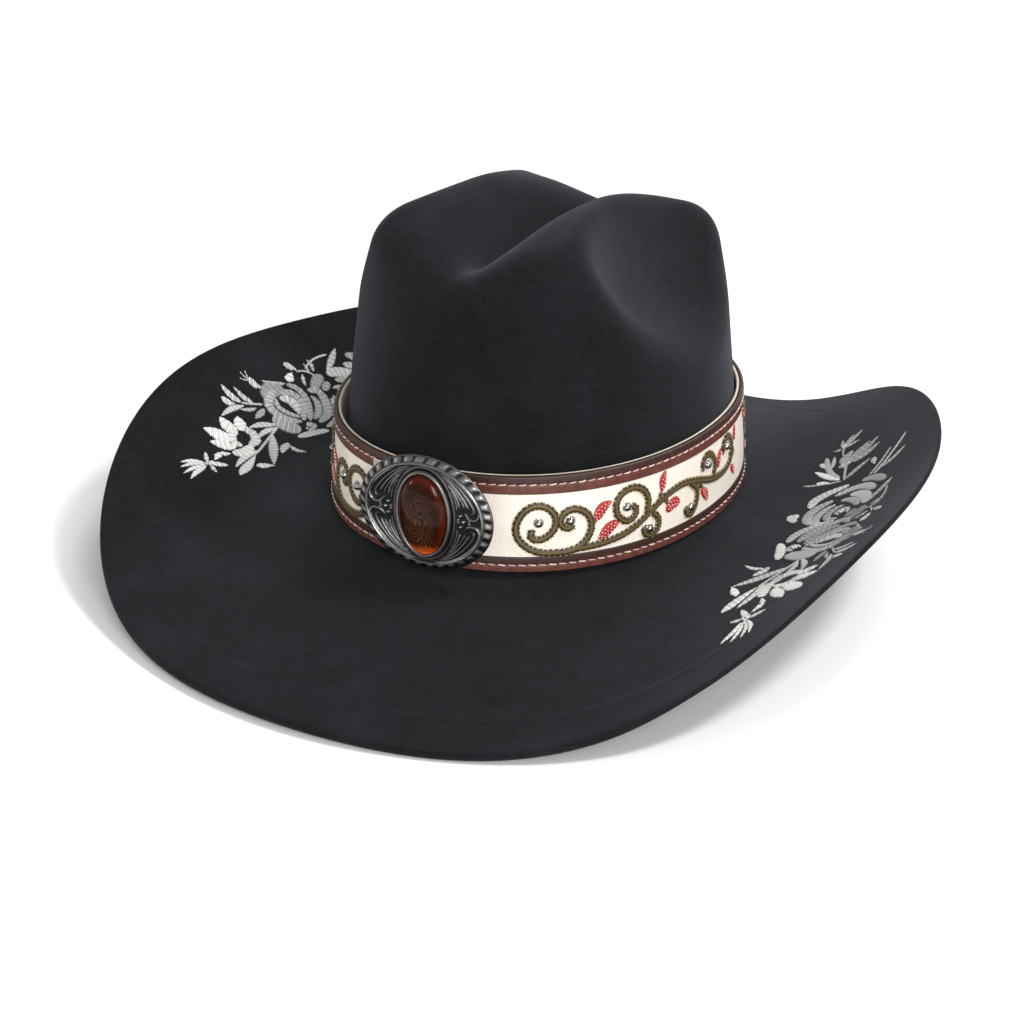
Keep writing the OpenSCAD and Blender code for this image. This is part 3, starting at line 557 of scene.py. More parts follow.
def dome_grid(off, zs, els, extra=None, wobble=0.0):
    rows = [cast(th, z, 0.0, off) for z in zs]
    for e in els:
        rows.append(cast(th, 62.0, e * DEG, off if extra is None else off - extra(e, th)))
    g = np.stack(rows)
    if wobble:
        tt = th[None, :]
        k = np.linspace(0, 1, len(rows))[:, None]
        w = wobble * (np.sin(3 * tt + 1.1 + 5 * k) * np.sin(4.0 * k * PI) + 0.6 * np.sin(5 * tt - 2.0 + 7 * k) * k)
        c = g - np.array([0, 0, 62.0])
        g = g + w[..., None] * c / np.linalg.norm(c, axis=-1, keepdims=True)
    return g


def shell(soup, outer, inner, top_o, top_i):
    m, n = outer.shape[:2]
    o = m * n
    v = np.vstack([outer.reshape(-1, 3), [top_o], inner.reshape(-1, 3), [top_i]])
    f = [grid_faces(m, n, flip=False)]
    f += [[(m - 1) * n + i, (m - 1) * n + (i + 1) % n, o] for i in range(n)]
    k = o + 1
    f += [grid_faces(inner.shape[0], n, flip=True, start=k)]
    mi = inner.shape[0]
    f += [[k + (mi - 1) * n + (i + 1) % n, k + (mi - 1) * n + i, k + mi * n] for i in range(n)]
    f += [[(i + 1) % n, i, k + i, k + (i + 1) % n] for i in range(n)]
    soup.add(v, f)


BASE = 28.6
zs = np.linspace(BASE, 60, 14)
els = np.concatenate([np.linspace(0, 40, 40, endpoint=False), np.linspace(40, 89.4, 92)])
s = Soup()
outer = dome_grid(0.0, zs, els, wobble=0.22)
inner = dome_grid(-0.9, zs[::3], els[::3], wobble=0.0)
shell(s, outer, inner, outer[-1].mean(0), inner[-1].mean(0))
piece("crown_suede", s, "hat", M_SUEDE, ("crown_cover",), fix=True)

s = Soup()
a1 = dome_grid(-0.95, zs[::3], els[::3])
a2 = dome_grid(-2.4, zs[::3], els[::3])
shell(s, a1, a2, a1[-1].mean(0), a2[-1].mean(0))
piece("crown_stiffener", s, "hat", M_FELT, ("crown_form",), fix=True)


def droop(e, t):
    """The lining hangs off the crown above the head in soft pleats."""
    k = max(0.0, min(1.0, (e - 9) / 16))
    return k * (2.0 + 0.55 * np.sin(24 * t) * math.cos(min(e, 88) * DEG) + 0.3 * np.sin(7 * t + 1))


s = Soup()
lz = np.linspace(BASE + 3, 61, 8)
le = np.concatenate([np.linspace(0, 40, 16, endpoint=False), np.linspace(40, 89, 34)])
b1 = dome_grid(-2.7, lz, le, extra=droop)
b2 = dome_grid(-3.1, lz, le, extra=droop)
shell(s, b1, b2, b1[-1].mean(0), b2[-1].mean(0))
piece("crown_lining_satin", s, "hat", M_SATIN, ("crown_lining",), fix=True)

# --------------------------------------------------------------- sweatband
s = Soup()
prof = []  # (offset, height): round top edge, flat faces, foot tucked over the reed
for a in np.linspace(180, 0, 7):
    prof.append((-3.9 + 0.6 * math.cos(a * DEG), BASE + 39.4 + 0.6 * math.sin(a * DEG)))
prof = [(-4.5, BASE + z) for z in np.linspace(0, 38, 14)] + prof + [(-3.3, BASE + z) for z in np.linspace(38, 0, 14)]
rows = [cast(th, z, 0.0, o) for o, z in prof]
g = np.stack(rows)
s.add(g.reshape(-1, 3), [grid_faces(len(prof), NTH, wrap=True, loop=True)])
piece("sweatband_leather", s, "hat", M_SWEAT, ("sweatband",), fix=True)

s = Soup()
core = cast(th, BASE, 0.0, -3.9)
outw = np.stack([np.sin(th), -np.cos(th), 0 * th], -1)
rr = []
for k in range(12):
    a = 2 * PI * k / 12
    rr.append(core + 0.9 * math.cos(a) * outw + np.array([0, 0, 0.9 * math.sin(a) - 0.95]))
g = np.stack(rr)
s.add(g.reshape(-1, 3), [grid_faces(12, NTH, wrap=True, loop=True)])
piece("sweatband_reed_roll", s, "hat", M_REED, ("sweatband_reed",), fix=True)

# stitches that hold the reed along the foot of the sweatband
s = Soup()
for i in range(150):
    a = (np.arange(5) / 4 - 0.5) * 0.020 + i * 2 * PI / 150
    c = cast(a, BASE + 3.2, 0.0, -4.62)
    o3 = np.stack([np.sin(a), -np.cos(a), 0 * a], -1)
    tube(s, c, np.tile([0, 0, 1.0], (5, 1)), o3, [0.12, 0.22, 0.24, 0.22, 0.12], 6)
piece("sweatband_stitches", s, "hat", M_DARKTHREAD, (), fix=True)

# small ribbon bow at the back of the sweatband
s = Soup()
bow = cast(PI, BASE + 22, 0.0, -4.5)


def ribbon(soup, pts, width, thick, out=(0, -1, 0)):
    p, _ = spline(pts, 0.35)
    t = unit(np.gradient(p, axis=0))
    o = np.array(out, float)
    side = unit(np.cross(t, o))
    nn = unit(np.cross(side, t))
    k = len(p)
    w = np.broadcast_to(np.asarray(width, float), (k,)) / 2
    ring = []
    for (a, c) in ((-1, -1), (-0.9, -1.2), (0.9, -1.2), (1, -1), (1, 1), (0.9, 1.2), (-0.9, 1.2), (-1, 1)):
        ring.append(p + side * (a * w)[:, None] + nn * (c * thick / 2.4))
    g = np.stack(ring, 1)
    soup.add(g.reshape(-1, 3), [grid_faces(k, 8, wrap=True), list(range(8))[::-1], [(k - 1) * 8 + i for i in range(8)]])


for sx in (-1, 1):
    ribbon(s, [(bow[0], bow[1] - 1.5, bow[2]), (bow[0] + sx * 3.4, bow[1] - 2.1, bow[2] + 2.1), (bow[0] + sx * 7.2, bow[1] - 1.9, bow[2] + 1.7),
               (bow[0] + sx * 8.1, bow[1] - 1.6, bow[2] - 0.4), (bow[0] + sx * 6.6, bow[1] - 1.5, bow[2] - 2.0), (bow[0] + sx * 3.0, bow[1] - 1.7, bow[2] - 1.5), (bow[0] + sx * 0.2, bow[1] - 1.4, bow[2])], 1.5, 0.35)
    ribbon(s, [(bow[0], bow[1] - 1.3, bow[2]), (bow[0] + sx * 1.9, bow[1] - 1.5, bow[2] - 4.0), (bow[0] + sx * 4.1, bow[1] - 1.3, bow[2] - 9.2)], 1.7, 0.35)
kn = np.array([bow[0], bow[1] - 1.6, bow[2]])
grain_blob(s, kn, np.array([1.7, 0, 0]), np.array([0, 1.0, 0]), np.array([0, 0, 1.5]), 0.5)
piece("sweatband_ribbon_bow", s, "hat", M_RIBBON, ("sweatband_bow",), fix=True)

# -------------------------------------------------------------------- brim
NBR = 640
tb = np.arange(NBR) * 2 * PI / NBR
span = edge_r(tb) - inner_r(tb)
lift = np.clip((edge_z(tb) - edge_z(tb).min() - 5) / 16, 0, 1)
thin = 1.9 * lift * lift * (3 - 2 * lift)
half_t = 2.0 - thin / 2
s_edge = 1 - half_t / span


def under_off(sv):
    """The brim is shaved thinner towards its raised edges, from below."""
    u = np.clip(1 - (1 - sv) * span / 17.0, 0, 1)
    return -2.0 + thin * u * u * (3 - 2 * u)


rows = []


def swell(sv, side):
    """Soft ridge where the inner border of the edge stay shows through the suede."""
    d = (1 - sv) * span
    u = np.clip((21.5 - d) / 3.0, 0, 1)
    r = 0.16 * np.exp(-((d - 20.3) / 1.5) ** 2) + 0.14 * u * u * (3 - 2 * u)
    wav = 0.12 * np.sin(5 * tb + 9 * sv) + 0.10 * np.sin(9 * tb - 6 * sv + 1) + 0.08 * np.sin(14 * tb + 4 * sv)
    fade = np.clip(sv * 4, 0, 1) * np.clip(d / 4, 0, 1)
    return (r * np.clip(d / 3.0, 0, 1) + wav) * fade if side > 0 else 0.6 * r * fade * np.clip(d / 3.0, 0, 1)


top_s = np.concatenate([np.linspace(0, 0.66, 24, endpoint=False), np.linspace(0.66, 1, 42)])
for k in top_s:
    sv = k * s_edge
    rows.append(brim_at(tb, sv, 2.0 + swell(sv, 1)))
ctr = brim_mid(tb, s_edge) + (thin / 2)[:, None] * brim_n(tb, s_edge)
nn = brim_n(tb, s_edge)
tang = unit(brim_mid(tb, s_edge + 0.01) - brim_mid(tb, s_edge - 0.01))
for a in np.linspace(90, -90, 13)[1:-1]:
    rows.append(ctr + half_t[:, None] * (math.cos(a * DEG) * tang + math.sin(a * DEG) * nn))
bottom_s = np.concatenate([np.linspace(1, 0.7, 24), np.linspace(0.7, 0, 14)[1:]])
for k in bottom_s:
    sv = k * s_edge
    rows.append(brim_at(tb, sv, under_off(sv) - swell(sv, -1)))
g = np.stack(rows)
n_rows = len(rows)
s = Soup()
s.add(g.reshape(-1, 3), [grid_faces(n_rows, NBR, wrap=True, loop=True)])
brim = piece("brim_suede", s, "hat", [M_SUEDE, M_SUEDE_UNDER], ("brim_top_skin", "brim_core", "brim_edge_stay", "brim_under_skin"), fix=True)
under = np.zeros(len(brim.data.polygons), np.int32)
first = (len(top_s) + 7) * NBR
vid = np.empty(len(brim.data.loops), np.int32)
brim.data.loops.foreach_get("vertex_index", vid)
starts = np.empty(len(brim.data.polygons), np.int32)
brim.data.polygons.foreach_get("loop_start", starts)
under[vid[starts] >= first] = 1
brim.data.polygons.foreach_set("material_index", under)


# -------------------------------------------------- satin-stitch embroidery
def half_width(l, w, kind):
    """Half width along a shape: leaf tapers at both ends, petal is blunt, stem stays even."""
    u = l / l[-1]
    if kind == "leaf":
        k = np.sin(PI * np.clip(u, 0, 1) ** 0.85) ** 0.8
    elif kind == "drop":
        k = np.sin(PI * np.clip(u, 0, 1) ** 1.7) ** 0.7
    elif kind == "stem":
        k = np.clip(np.minimum(u, 1 - u) * 12, 0.25, 1)
    else:
        k = np.clip(1 - np.abs(2 * u - 1) ** 5, 0.05, 1) ** 0.5 * (0.80 + 0.20 * np.sin(PI * u))
    return np.maximum(k * w / 2, 0.06)


def satin(soup, place, pts, w, h, tone, kind="petal", pitch=1.0, slant=0.35, rib=0.45, k=9, sunk=-0.25, edge=0.10, gap=0.0):
    """Closed raised pad of side-by-side threads laid across a centre line."""
    c, l = spline(pts, pitch / 4)
    t = unit(np.gradient(c, axis=0))
    n = np.stack([-t[:, 1], t[:, 0]], -1)
    hw = half_width(l, w, kind)
    u = np.linspace(-1, 1, k)
    m = len(c)
    i = np.arange(m)
    wave = 0.5 - 0.5 * np.cos(i * PI / 2)
    crest = 1 - rib * (1 - wave)
    lay = np.sin(np.floor(i / 4) * 2.39996 + tone * 31)
    body = (1 - np.abs(u) ** 4.0) ** 0.6
    jag = edge * (lay + wave) * np.minimum(1, hw / 1.0)
    hgt = h * np.minimum(1.0, hw / (0.28 * w + 1e-6)) ** 0.5
    pos = c[:, None, :] + n[:, None, :] * (u[None, :, None] * (hw + jag)[:, None, None]) + t[:, None, :] * (slant * u[None, :, None] * hw[:, None, None])
    up = (hgt * crest)[:, None] * body[None, :] + 0.02
    low = c[:, None, :] + n[:, None, :] * (np.array([1.0, -1.0])[None, :, None] * (hw + jag)[:, None, None] * 0.97)
    low = low + t[:, None, :] * (slant * np.array([1.0, -1.0])[None, :, None] * hw[:, None, None])
    P = np.concatenate([pos, low], 1)
    U = np.concatenate([up, np.full((m, 2), sunk)], 1)
    v = place(P[..., 0].ravel(), P[..., 1].ravel(), U.ravel())
    kk = k + 2
    # tone per thread: random lay, painted shade in the dip between neighbouring threads, a little painted light along
    # the pad's raised middle, and a darker rim set by gap
    tt = tone + 0.13 * lay - 0.42 * (1 - wave) ** 1.5 + 0.12
    rim = np.concatenate([np.where(np.abs(u) > 0.95, 1.0, 0.0), [1, 1]])
    tt = tt[:, None] + (0.10 * np.concatenate([body, [-0.6, -0.6]]) - gap * rim)[None, :]
    soup.add(v, [grid_faces(m, kk, wrap=True), list(range(kk))[::-1], [(m - 1) * kk + q for q in range(kk)]], tt.ravel())


# One spray of roses, x out from the hat's middle, y towards the back.
# Each shape: kind, tone, height, width, then the points of its centre line. The tone sets each shape's brightness, a
# painted sheen for how the threads of that shape catch the light.
SPRAY = [
    # large rose
    ("petal", .36, .9, 7.4, (156.1, -5.4), (158.6, 1.5), (157.2, 9.0)),
    ("petal", .56, 1.1, 4.4, (158.0, 3.4), (156.6, -1.8), (153.6, -6.8), (148.1, -8.0), (142.0, -5.6), (137.6, -1.2)),
    ("leaf", .66, 1.2, 6.4, (153.6, 1.6), (150.6, 5.4), (146.3, 5.6), (141.6, 2.2)),
    ("petal", .58, 1.1, 3.0, (154.2, -0.6), (150.4, -3.3), (144.8, -2.0), (140.0, 1.0)),
    ("petal", .52, 1.2, 4.0, (154.9, 4.6), (153.2, 9.4), (149.3, 10.9), (143.9, 8.0), (137.3, 0.4)),
    ("petal", .46, 1.0, 3.6, (157.0, 12.2), (152.7, 15.6), (147.0, 14.7), (141.0, 9.6), (135.3, 3.0)),
    ("petal", .50, 1.1, 4.6, (149.3, 19.6), (146.0, 24.1), (139.9, 22.0), (133.6, 15.2), (131.2, 5.6)),
    ("petal", .44, 1.0, 3.4, (146.4, 18.4), (142.0, 17.6), (137.4, 12.7), (134.6, 6.0)),
    ("petal", .62, 1.0, 4.0, (139.5, 26.6), (131.4, 21.6), (127.0, 14.0), (126.2, 4.6)),
    ("petal", .55, 1.0, 8.8, (147.6, -12.4), (140.6, -10.4), (133.2, -7.6)),
    ("petal", .80, 1.0, 4.2, (130.4, -13.6), (127.9, -5.0), (124.2, 3.2)),
    ("petal", .62, 1.1, 2.4, (135.6, 0.2), (131.6, 1.2), (130.6, -3.4), (133.4, -3.8)),
    # second rose
    ("petal", .68, 1.0, 5.0, (149.9, 37.4), (147.4, 44.0), (142.2, 50.0), (136.4, 52.6)),
    ("petal", .54, 1.0, 3.6, (145.2, 38.4), (142.9, 42.8), (138.3, 46.9), (133.6, 47.9)),
    ("petal", .62, 1.1, 2.2, (143.0, 33.0), (141.7, 36.9), (138.8, 37.7), (137.2, 34.7), (139.2, 32.2)),
    ("petal", .50, 1.0, 3.2, (140.3, 28.4), (135.4, 28.8), (133.0, 34.0), (134.4, 39.6), (137.3, 42.2)),
    ("petal", .60, 1.0, 3.6, (137.2, 24.6), (131.2, 25.2), (128.4, 31.8), (129.2, 39.6), (132.3, 44.2)),
    ("petal", .56, 1.0, 4.2, (131.0, 23.8), (125.4, 27.6), (123.2, 35.0), (124.6, 43.0), (129.0, 49.0)),
    ("petal", .62, 1.0, 4.4, (127.6, 53.6), (134.4, 57.8), (142.0, 56.6), (148.6, 50.0)),
    ("petal", .74, 1.0, 4.6, (119.8, 41.6), (119.4, 50.0), (123.4, 57.6), (131.0, 62.6)),
    ("petal", .52, 1.0, 4.0, (137.0, 64.2), (144.4, 62.0), (151.0, 55.4)),
    ("petal", .30, .8, 4.8, (151.6, 34.4), (149.9, 28.3), (147.6, 23.6)),
    ("petal", .34, .8, 3.6, (147.2, 34.0), (145.8, 31.0), (144.4, 28.0)),
    ("petal", .70, .8, 4.4, (119.0, 33.4), (116.6, 30.4), (118.8, 25.6)),
    # outer sprig by the large rose
    ("stem", .60, .7, 1.3, (155.4, -9.3), (158.2, -14.6), (161.2, -19.4)),
    ("leaf", .66, .9, 4.0, (161.4, -19.0), (166.6, -21.4), (172.4, -21.5)),
    ("leaf", .62, .9, 3.2, (158.2, -13.4), (163.0, -15.6), (168.6, -16.0)),
    ("leaf", .70, .9, 3.0, (159.6, -19.4), (161.2, -27.4), (161.0, -35.8)),
    ("drop", .72, .9, 4.0, (161.9, -22.6), (163.9, -25.0), (167.4, -27.6)),
    ("leaf", .55, .8, 2.2, (155.6, -14.6), (156.6, -18.6), (159.0, -23.4)),
    ("leaf", .42, .8, 3.4, (153.6, -11.0), (152.4, -15.6), (151.6, -20.8)),
    # front sprigs
    ("leaf", .66, .9, 3.6, (143.4, -14.4), (147.4, -21.0), (149.6, -28.6)),
    ("leaf", .68, .9, 3.2, (141.8, -15.8), (143.4, -23.4), (142.6, -32.0)),
    ("stem", .64, .8, 1.5, (142.4, -14.6), (139.6, -25.3), (137.4, -34.0), (135.2, -42.6)),
    ("leaf", .78, 1.0, 3.8, (136.6, -38.6), (137.4, -47.6), (135.4, -58.4)),
    ("drop", .84, 1.0, 5.2, (135.4, -41.6), (132.6, -51.0), (130.0, -61.6)),
    ("leaf", .64, 1.0, 5.0, (139.8, -22.6), (132.6, -31.6), (123.4, -43.2)),
    ("drop", .86, 1.0, 4.4, (122.6, -43.4), (125.8, -46.2), (129.2, -49.9)),
    ("leaf", .70, 1.0, 4.4, (130.9, -21.8), (129.6, -26.4), (127.2, -31.6)),
    ("leaf", .72, .9, 2.8, (128.6, -23.4), (124.0, -24.4), (118.8, -23.0)),
    # small bud outside
    ("stem", .58, .7, 1.1, (158.0, 0.6), (160.4, -1.0), (162.2, -2.2)),
    ("drop", .68, 1.0, 4.6, (161.4, -1.4), (164.2, -3.4), (168.0, -5.0)),
    ("stem", .62, .5, .7, (167.2, -4.8), (169.8, -3.6), (171.2, -2.8)),
    ("stem", .62, .5, .7, (167.4, -5.0), (170.4, -5.8), (172.0, -5.8)),
    ("stem", .62, .5, .7, (167.2, -5.4), (168.8, -7.6), (170.0, -8.6)),
    # paired buds between the roses
    ("drop", .66, .9, 3.6, (158.6, 24.9), (161.4, 23.4), (164.2, 20.2)),
    ("drop", .80, 1.0, 4.6, (159.8, 21.4), (158.9, 18.4), (157.3, 14.8)),
    ("stem", .60, .7, 1.0, (158.9, 23.4), (157.4, 27.4), (154.4, 30.2), (151.6, 30.6)),
    ("leaf", .50, .8, 2.2, (155.0, 29.4), (157.6, 30.6), (159.8, 30.8)),
    ("leaf", .50, .8, 2.4, (154.4, 32.4), (157.4, 34.4), (160.2, 34.2)),
    ("leaf", .58, .8, 2.2, (156.6, 25.4), (153.9, 23.0), (151.2, 21.4)),
    # front tulip around its open square eye
    ("leaf", .86, 1.1, 7.4, (150.4, -36.4), (155.6, -37.9), (161.2, -37.0)),
    ("leaf", .90, 1.1, 7.8, (148.6, -42.2), (154.4, -46.6), (160.8, -50.2)),
    ("leaf", .88, 1.1, 6.4, (144.6, -45.4), (149.2, -49.8), (154.0, -54.0)),
    ("leaf", .84, 1.1, 7.0, (149.4, -33.0), (153.4, -31.0), (157.2, -28.2)),
    ("petal", .74, 1.1, 4.4, (152.0, -32.4), (146.4, -30.6), (142.0, -33.4), (140.8, -39.4)),
    ("petal", .86, 1.1, 5.0, (140.8, -38.6), (139.8, -45.0), (142.4, -51.0)),
    ("petal", .82, 1.2, 4.0, (152.0, -36.0), (150.8, -41.0), (147.0, -43.6), (143.6, -42.2)),
    ("drop", .84, .9, 2.8, (143.0, -51.4), (144.5, -53.6), (146.4, -56.2)),
    # front tip flower
    ("drop", .86, .9, 3.4, (144.9, -62.4), (145.6, -59.4), (146.8, -55.8)),
    ("leaf", .84, .9, 3.2, (144.8, -66.0), (142.2, -63.0), (138.6, -59.8)),
    ("leaf", .76, .8, 2.4, (146.0, -66.2), (148.4, -64.2), (151.2, -61.6)),
    ("leaf", .76, .8, 2.2, (144.2, -66.6), (141.8, -67.4), (138.8, -68.4)),
    ("stem", .80, .9, 1.8, (144.9, -63.2), (145.6, -67.0), (146.6, -70.4)),
    ("leaf", .90, 1.0, 2.2, (147.0, -67.8), (150.8, -71.8), (153.6, -77.4)),
    ("leaf", .86, 1.0, 2.0, (146.8, -69.0), (149.8, -73.8), (151.6, -80.0)),
    ("leaf", .90, 1.0, 2.2, (145.8, -69.2), (147.6, -75.4), (148.2, -82.0)),
    ("leaf", .92, 1.0, 2.8, (144.8, -69.0), (145.0, -75.6), (143.8, -82.2)),
    # rear sprigs
    ("stem", .62, .7, 1.3, (124.4, 68.6), (116.2, 66.8), (106.4, 63.6)),
    ("drop", .78, .9, 4.0, (119.6, 66.6), (115.6, 67.8), (111.4, 67.4)),
    ("leaf", .84, 1.0, 5.0, (122.6, 69.8), (113.6, 74.6), (104.8, 79.6)),
    ("drop", .70, .9, 3.8, (110.2, 82.0), (107.6, 84.4), (104.6, 88.4)),
    ("petal", .60, .9, 2.8, (121.6, 71.6), (114.6, 77.4), (109.6, 84.4), (105.0, 93.6)),
    ("leaf", .62, .8, 2.6, (112.4, 82.6), (111.0, 88.0), (108.8, 94.6)),
    ("stem", .56, .8, 1.5, (125.2, 68.8), (122.0, 77.0), (118.6, 86.4)),
    ("leaf", .50, .8, 3.2, (125.4, 70.4), (127.8, 77.6), (131.6, 84.6)),
    # rear tulip and tip flower
    ("leaf", .52, 1.0, 6.0, (117.2, 84.6), (115.8, 90.8), (117.0, 97.4)),
    ("leaf", .50, 1.0, 5.4, (119.4, 85.4), (120.8, 93.4), (123.6, 101.6)),
    ("leaf", .46, 1.0, 4.2, (121.2, 85.4), (124.2, 93.6), (127.4, 102.8)),
    ("leaf", .52, 1.0, 3.8, (122.8, 85.4), (126.8, 90.4), (130.8, 96.6)),
    ("drop", .58, 1.0, 5.4, (121.4, 88.2), (119.2, 85.2), (116.2, 82.6)),
    ("leaf", .54, .9, 2.6, (110.4, 102.4), (111.4, 108.6), (113.4, 116.2)),
    ("leaf", .52, .9, 2.2, (110.0, 102.6), (109.6, 108.2), (110.2, 114.0)),
    ("leaf", .54, .9, 2.4, (110.2, 102.2), (107.6, 106.0), (106.0, 110.4)),
    ("leaf", .56, .8, 2.2, (111.0, 102.0), (113.4, 104.6), (116.2, 106.6)),
    ("leaf", .56, .8, 2.2, (110.4, 101.6), (108.0, 100.4), (105.4, 99.8)),
    ("stem", .52, .8, 1.2, (113.6, 93.8), (111.4, 98.0), (110.4, 102.8)),
    # rear outer sprigs
    ("stem", .66, .8, 1.6, (141.2, 66.4), (143.6, 78.0), (145.6, 92.6)),
    ("stem", .60, .7, 1.2, (138.8, 66.6), (140.2, 76.0), (141.0, 86.4)),
    ("leaf", .64, .9, 2.8, (143.2, 70.4), (147.4, 74.6), (150.6, 80.2)),
    ("drop", .66, .9, 3.4, (137.4, 76.4), (135.4, 79.4), (134.0, 83.4)),
    ("leaf", .56, .9, 3.4, (155.8, 53.6), (153.0, 45.8), (150.4, 38.2)),
    ("stem", .60, .7, 1.1, (156.4, 47.0), (158.4, 38.4), (158.0, 30.2)),
    ("leaf", .58, .8, 2.4, (157.6, 12.4), (160.6, 6.0), (164.4, 1.4)),
]


def rose_spray(side, name, node_name, stretch):
    s = Soup()

    def place(x, y, up):
        # the far ends of the two sprays differ a little, as sewn by hand
        y2 = np.where(y < -45, -45 + (y + 45) * stretch, y)
        return brim_xy(side * x, y2, up + 0.18)
    thin = 0.84 if stretch > 1.1 else 1.0
    for kind, tone, h, w, *pts in SPRAY:
        # petals are sewn edge to edge with a dark line between them
        petal = kind == "petal"
        tone = tone - (0.13 if petal else 0.09)
        satin(s, place, pts, w * (1.24 if petal else thin), (0.62 if petal else 0.50) * h, tone, kind, k=11 if w > 3 else 7,
              pitch=1.0 if w > 3 else 0.9, rib=0.42, slant=0.3 * (1 if w < 5 else 0.6), gap=0.8 if petal else 0.25)
    # knots at the middle of the roses and of the tip flowers
    for kx, ky in ((133.2, -1.4), (140.0, 34.4), (145.2, -67.0), (110.4, 102.2)):
        for a in range(4):
            q = place(np.array([kx + 0.9 * math.cos(a * 1.6)]), np.array([ky + 0.9 * math.sin(a * 1.6)]), np.array([0.75]))[0]
            grain_blob(s, q, np.array([0.7, 0, 0]), np.array([0, 0.7, 0]), np.array([0, 0, 0.6]), 0.75)
    return piece(name, s, "hat", M_SILVER, (node_name,), fix=True, flip=side < 0)


rose_spray(1, "rose_spray_right", "rose_embroidery_right", 1.30)
rose_spray(-1, "rose_spray_left", "rose_embroidery_left", 1.0)

# -------------------------------------------------------------------- band
NSEG = 1440
tband = (1.2 + 359.6 * np.arange(NSEG + 1) / NSEG) * DEG
s_of_t = np.interp(((tband - BUCKLE_T + PI) % (2 * PI)) - PI + BUCKLE_T, _at, _as)
PITCH = 4.4
V_UP, V_LO = 22.25 - 3.65, -22.25 + 3.7


def strip(name, profile, mat, replaces, wob=None):
    """profile rows are (d, z, tone); wob(row, s) adds to d."""
    rows, tones = [], []
    for k, (d, z, tn) in enumerate(profile):
        dd = d + (wob(k, d, z) if wob is not None else 0.0)
        rows.append(band_at(tband, z, dd))
        tones.append(np.broadcast_to(np.asarray(tn, float), tband.shape))
    g = np.stack(rows, 1)
    m, n = g.shape[:2]
    s = Soup()
    s.add(g.reshape(-1, 3), [grid_faces(m, n, wrap=True), list(range(n))[::-1], [(m - 1) * n + i for i in range(n)]], np.stack(tones, 1).ravel())
    return piece(name, s, "band", mat, replaces, fix=True)


def stitch_dip(z, zs):
    ph = np.abs(np.cos(PI * (s_of_t + 296) / PITCH))
    return -0.34 * math.exp(-((z - zs) / 0.62) ** 2) * (0.45 + 0.55 * ph)


def wrinkle(z):
    return 0.05 * np.sin(s_of_t * 2.9 + 3 * math.sin(z * 0.9)) * np.sin(s_of_t * 0.83 + z) + 0.035 * np.sin(s_of_t * 5.7 + z * 1.3)


def binding(z0, z1, zs, up):
    """Outline of a folded leather binding, from its inner border round to the band's edge."""
    P = []
    inner_z, edge_zz = (z0, z1) if up else (z1, z0)
    sg = 1 if up else -1
    P.append((-0.6, inner_z, 0.15))
    for a in (20, 50, 80):
        P.append((-0.6 + 0.52 * math.sin(a * DEG), inner_z + sg * (0.5 - 0.5 * math.cos(a * DEG)), 0.55 if up else 0.0))
    hgt = abs(z1 - z0)
    for u in np.linspace(0.09, 0.90, 19):
        z = inner_z + sg * u * hgt
        bulge = 0.10 * math.sin(PI * u)
        P.append((-0.08 + bulge, z, None))
    for a in (15, 35, 55, 75, 90):
        P.append((-1.0 + 0.98 * math.cos(a * DEG), edge_zz - sg * (0.95 - 0.95 * math.sin(a * DEG)), 0.05))
    P.append((-1.98, edge_zz, 0.0))
    P.append((-1.98, edge_zz - sg * 0.55, 0.0))
    P.append((-0.62, edge_zz - sg * 0.55, 0.0))
    out = []
    for d, z, tn in P:
        if tn is None:
            # the half above the stitches is darker, the half below is redder
            k = 1 / (1 + math.exp((z - zs - 0.15) / 0.28))
            tn = 0.10 + 0.90 * k
        out.append((d, z, tn))
    return out


zs_up, zs_lo = BAND_MID + V_UP, BAND_MID + V_LO
pu = binding(BAND_TOP - 8.2, BAND_TOP, zs_up, True)
pl = binding(BAND_Z, BAND_Z + 7.4, zs_lo, False)


def face_only(d):
    return d > -0.5


strip("band_binding_upper", pu, M_BROWN, ("band_trim_upper",),
      lambda k, d, z: (stitch_dip(z, zs_up) + wrinkle(z)) if face_only(d) else 0.0)
strip("band_binding_lower", pl, M_BROWN, ("band_trim_lower",),
      lambda k, d, z: (stitch_dip(z, zs_lo) + wrinkle(z)) if face_only(d) else 0.0)

vv = np.linspace(-21.65, 21.65, 25)
prof = [(-0.62 + float(belly(v)), BAND_MID + v, 0.5) for v in vv] + [(-1.98, BAND_MID + v, 0.5) for v in (21.65, 7, -7, -21.65)]
strip("band_strap_cream", prof, M_CREAM, ("band_strap",),
      lambda k, d, z: (0.05 * np.sin(s_of_t * 0.31 + z * 0.2) + 0.03 * np.sin(s_of_t * 0.9 - z * 0.4)) if d > -0.7 else 0.0)

prof = [(-2.08, BAND_MID + v, 0.5) for v in np.linspace(-21.9, 21.9, 9)]
prof += [(-2.3, BAND_TOP - 0.05, 0.5), (-2.74, BAND_TOP, 0.5), (-3.2, BAND_TOP - 0.1, 0.5)]
prof += [(-3.4, BAND_MID + v, 0.5) for v in np.linspace(21.9, -21.9, 9)]
prof += [(-3.2, BAND_Z + 0.1, 0.5), (-2.74, BAND_Z, 0.5), (-2.3, BAND_Z + 0.05, 0.5)]
strip("band_backing_leather", prof, M_BACK, ("band_backing",), None)

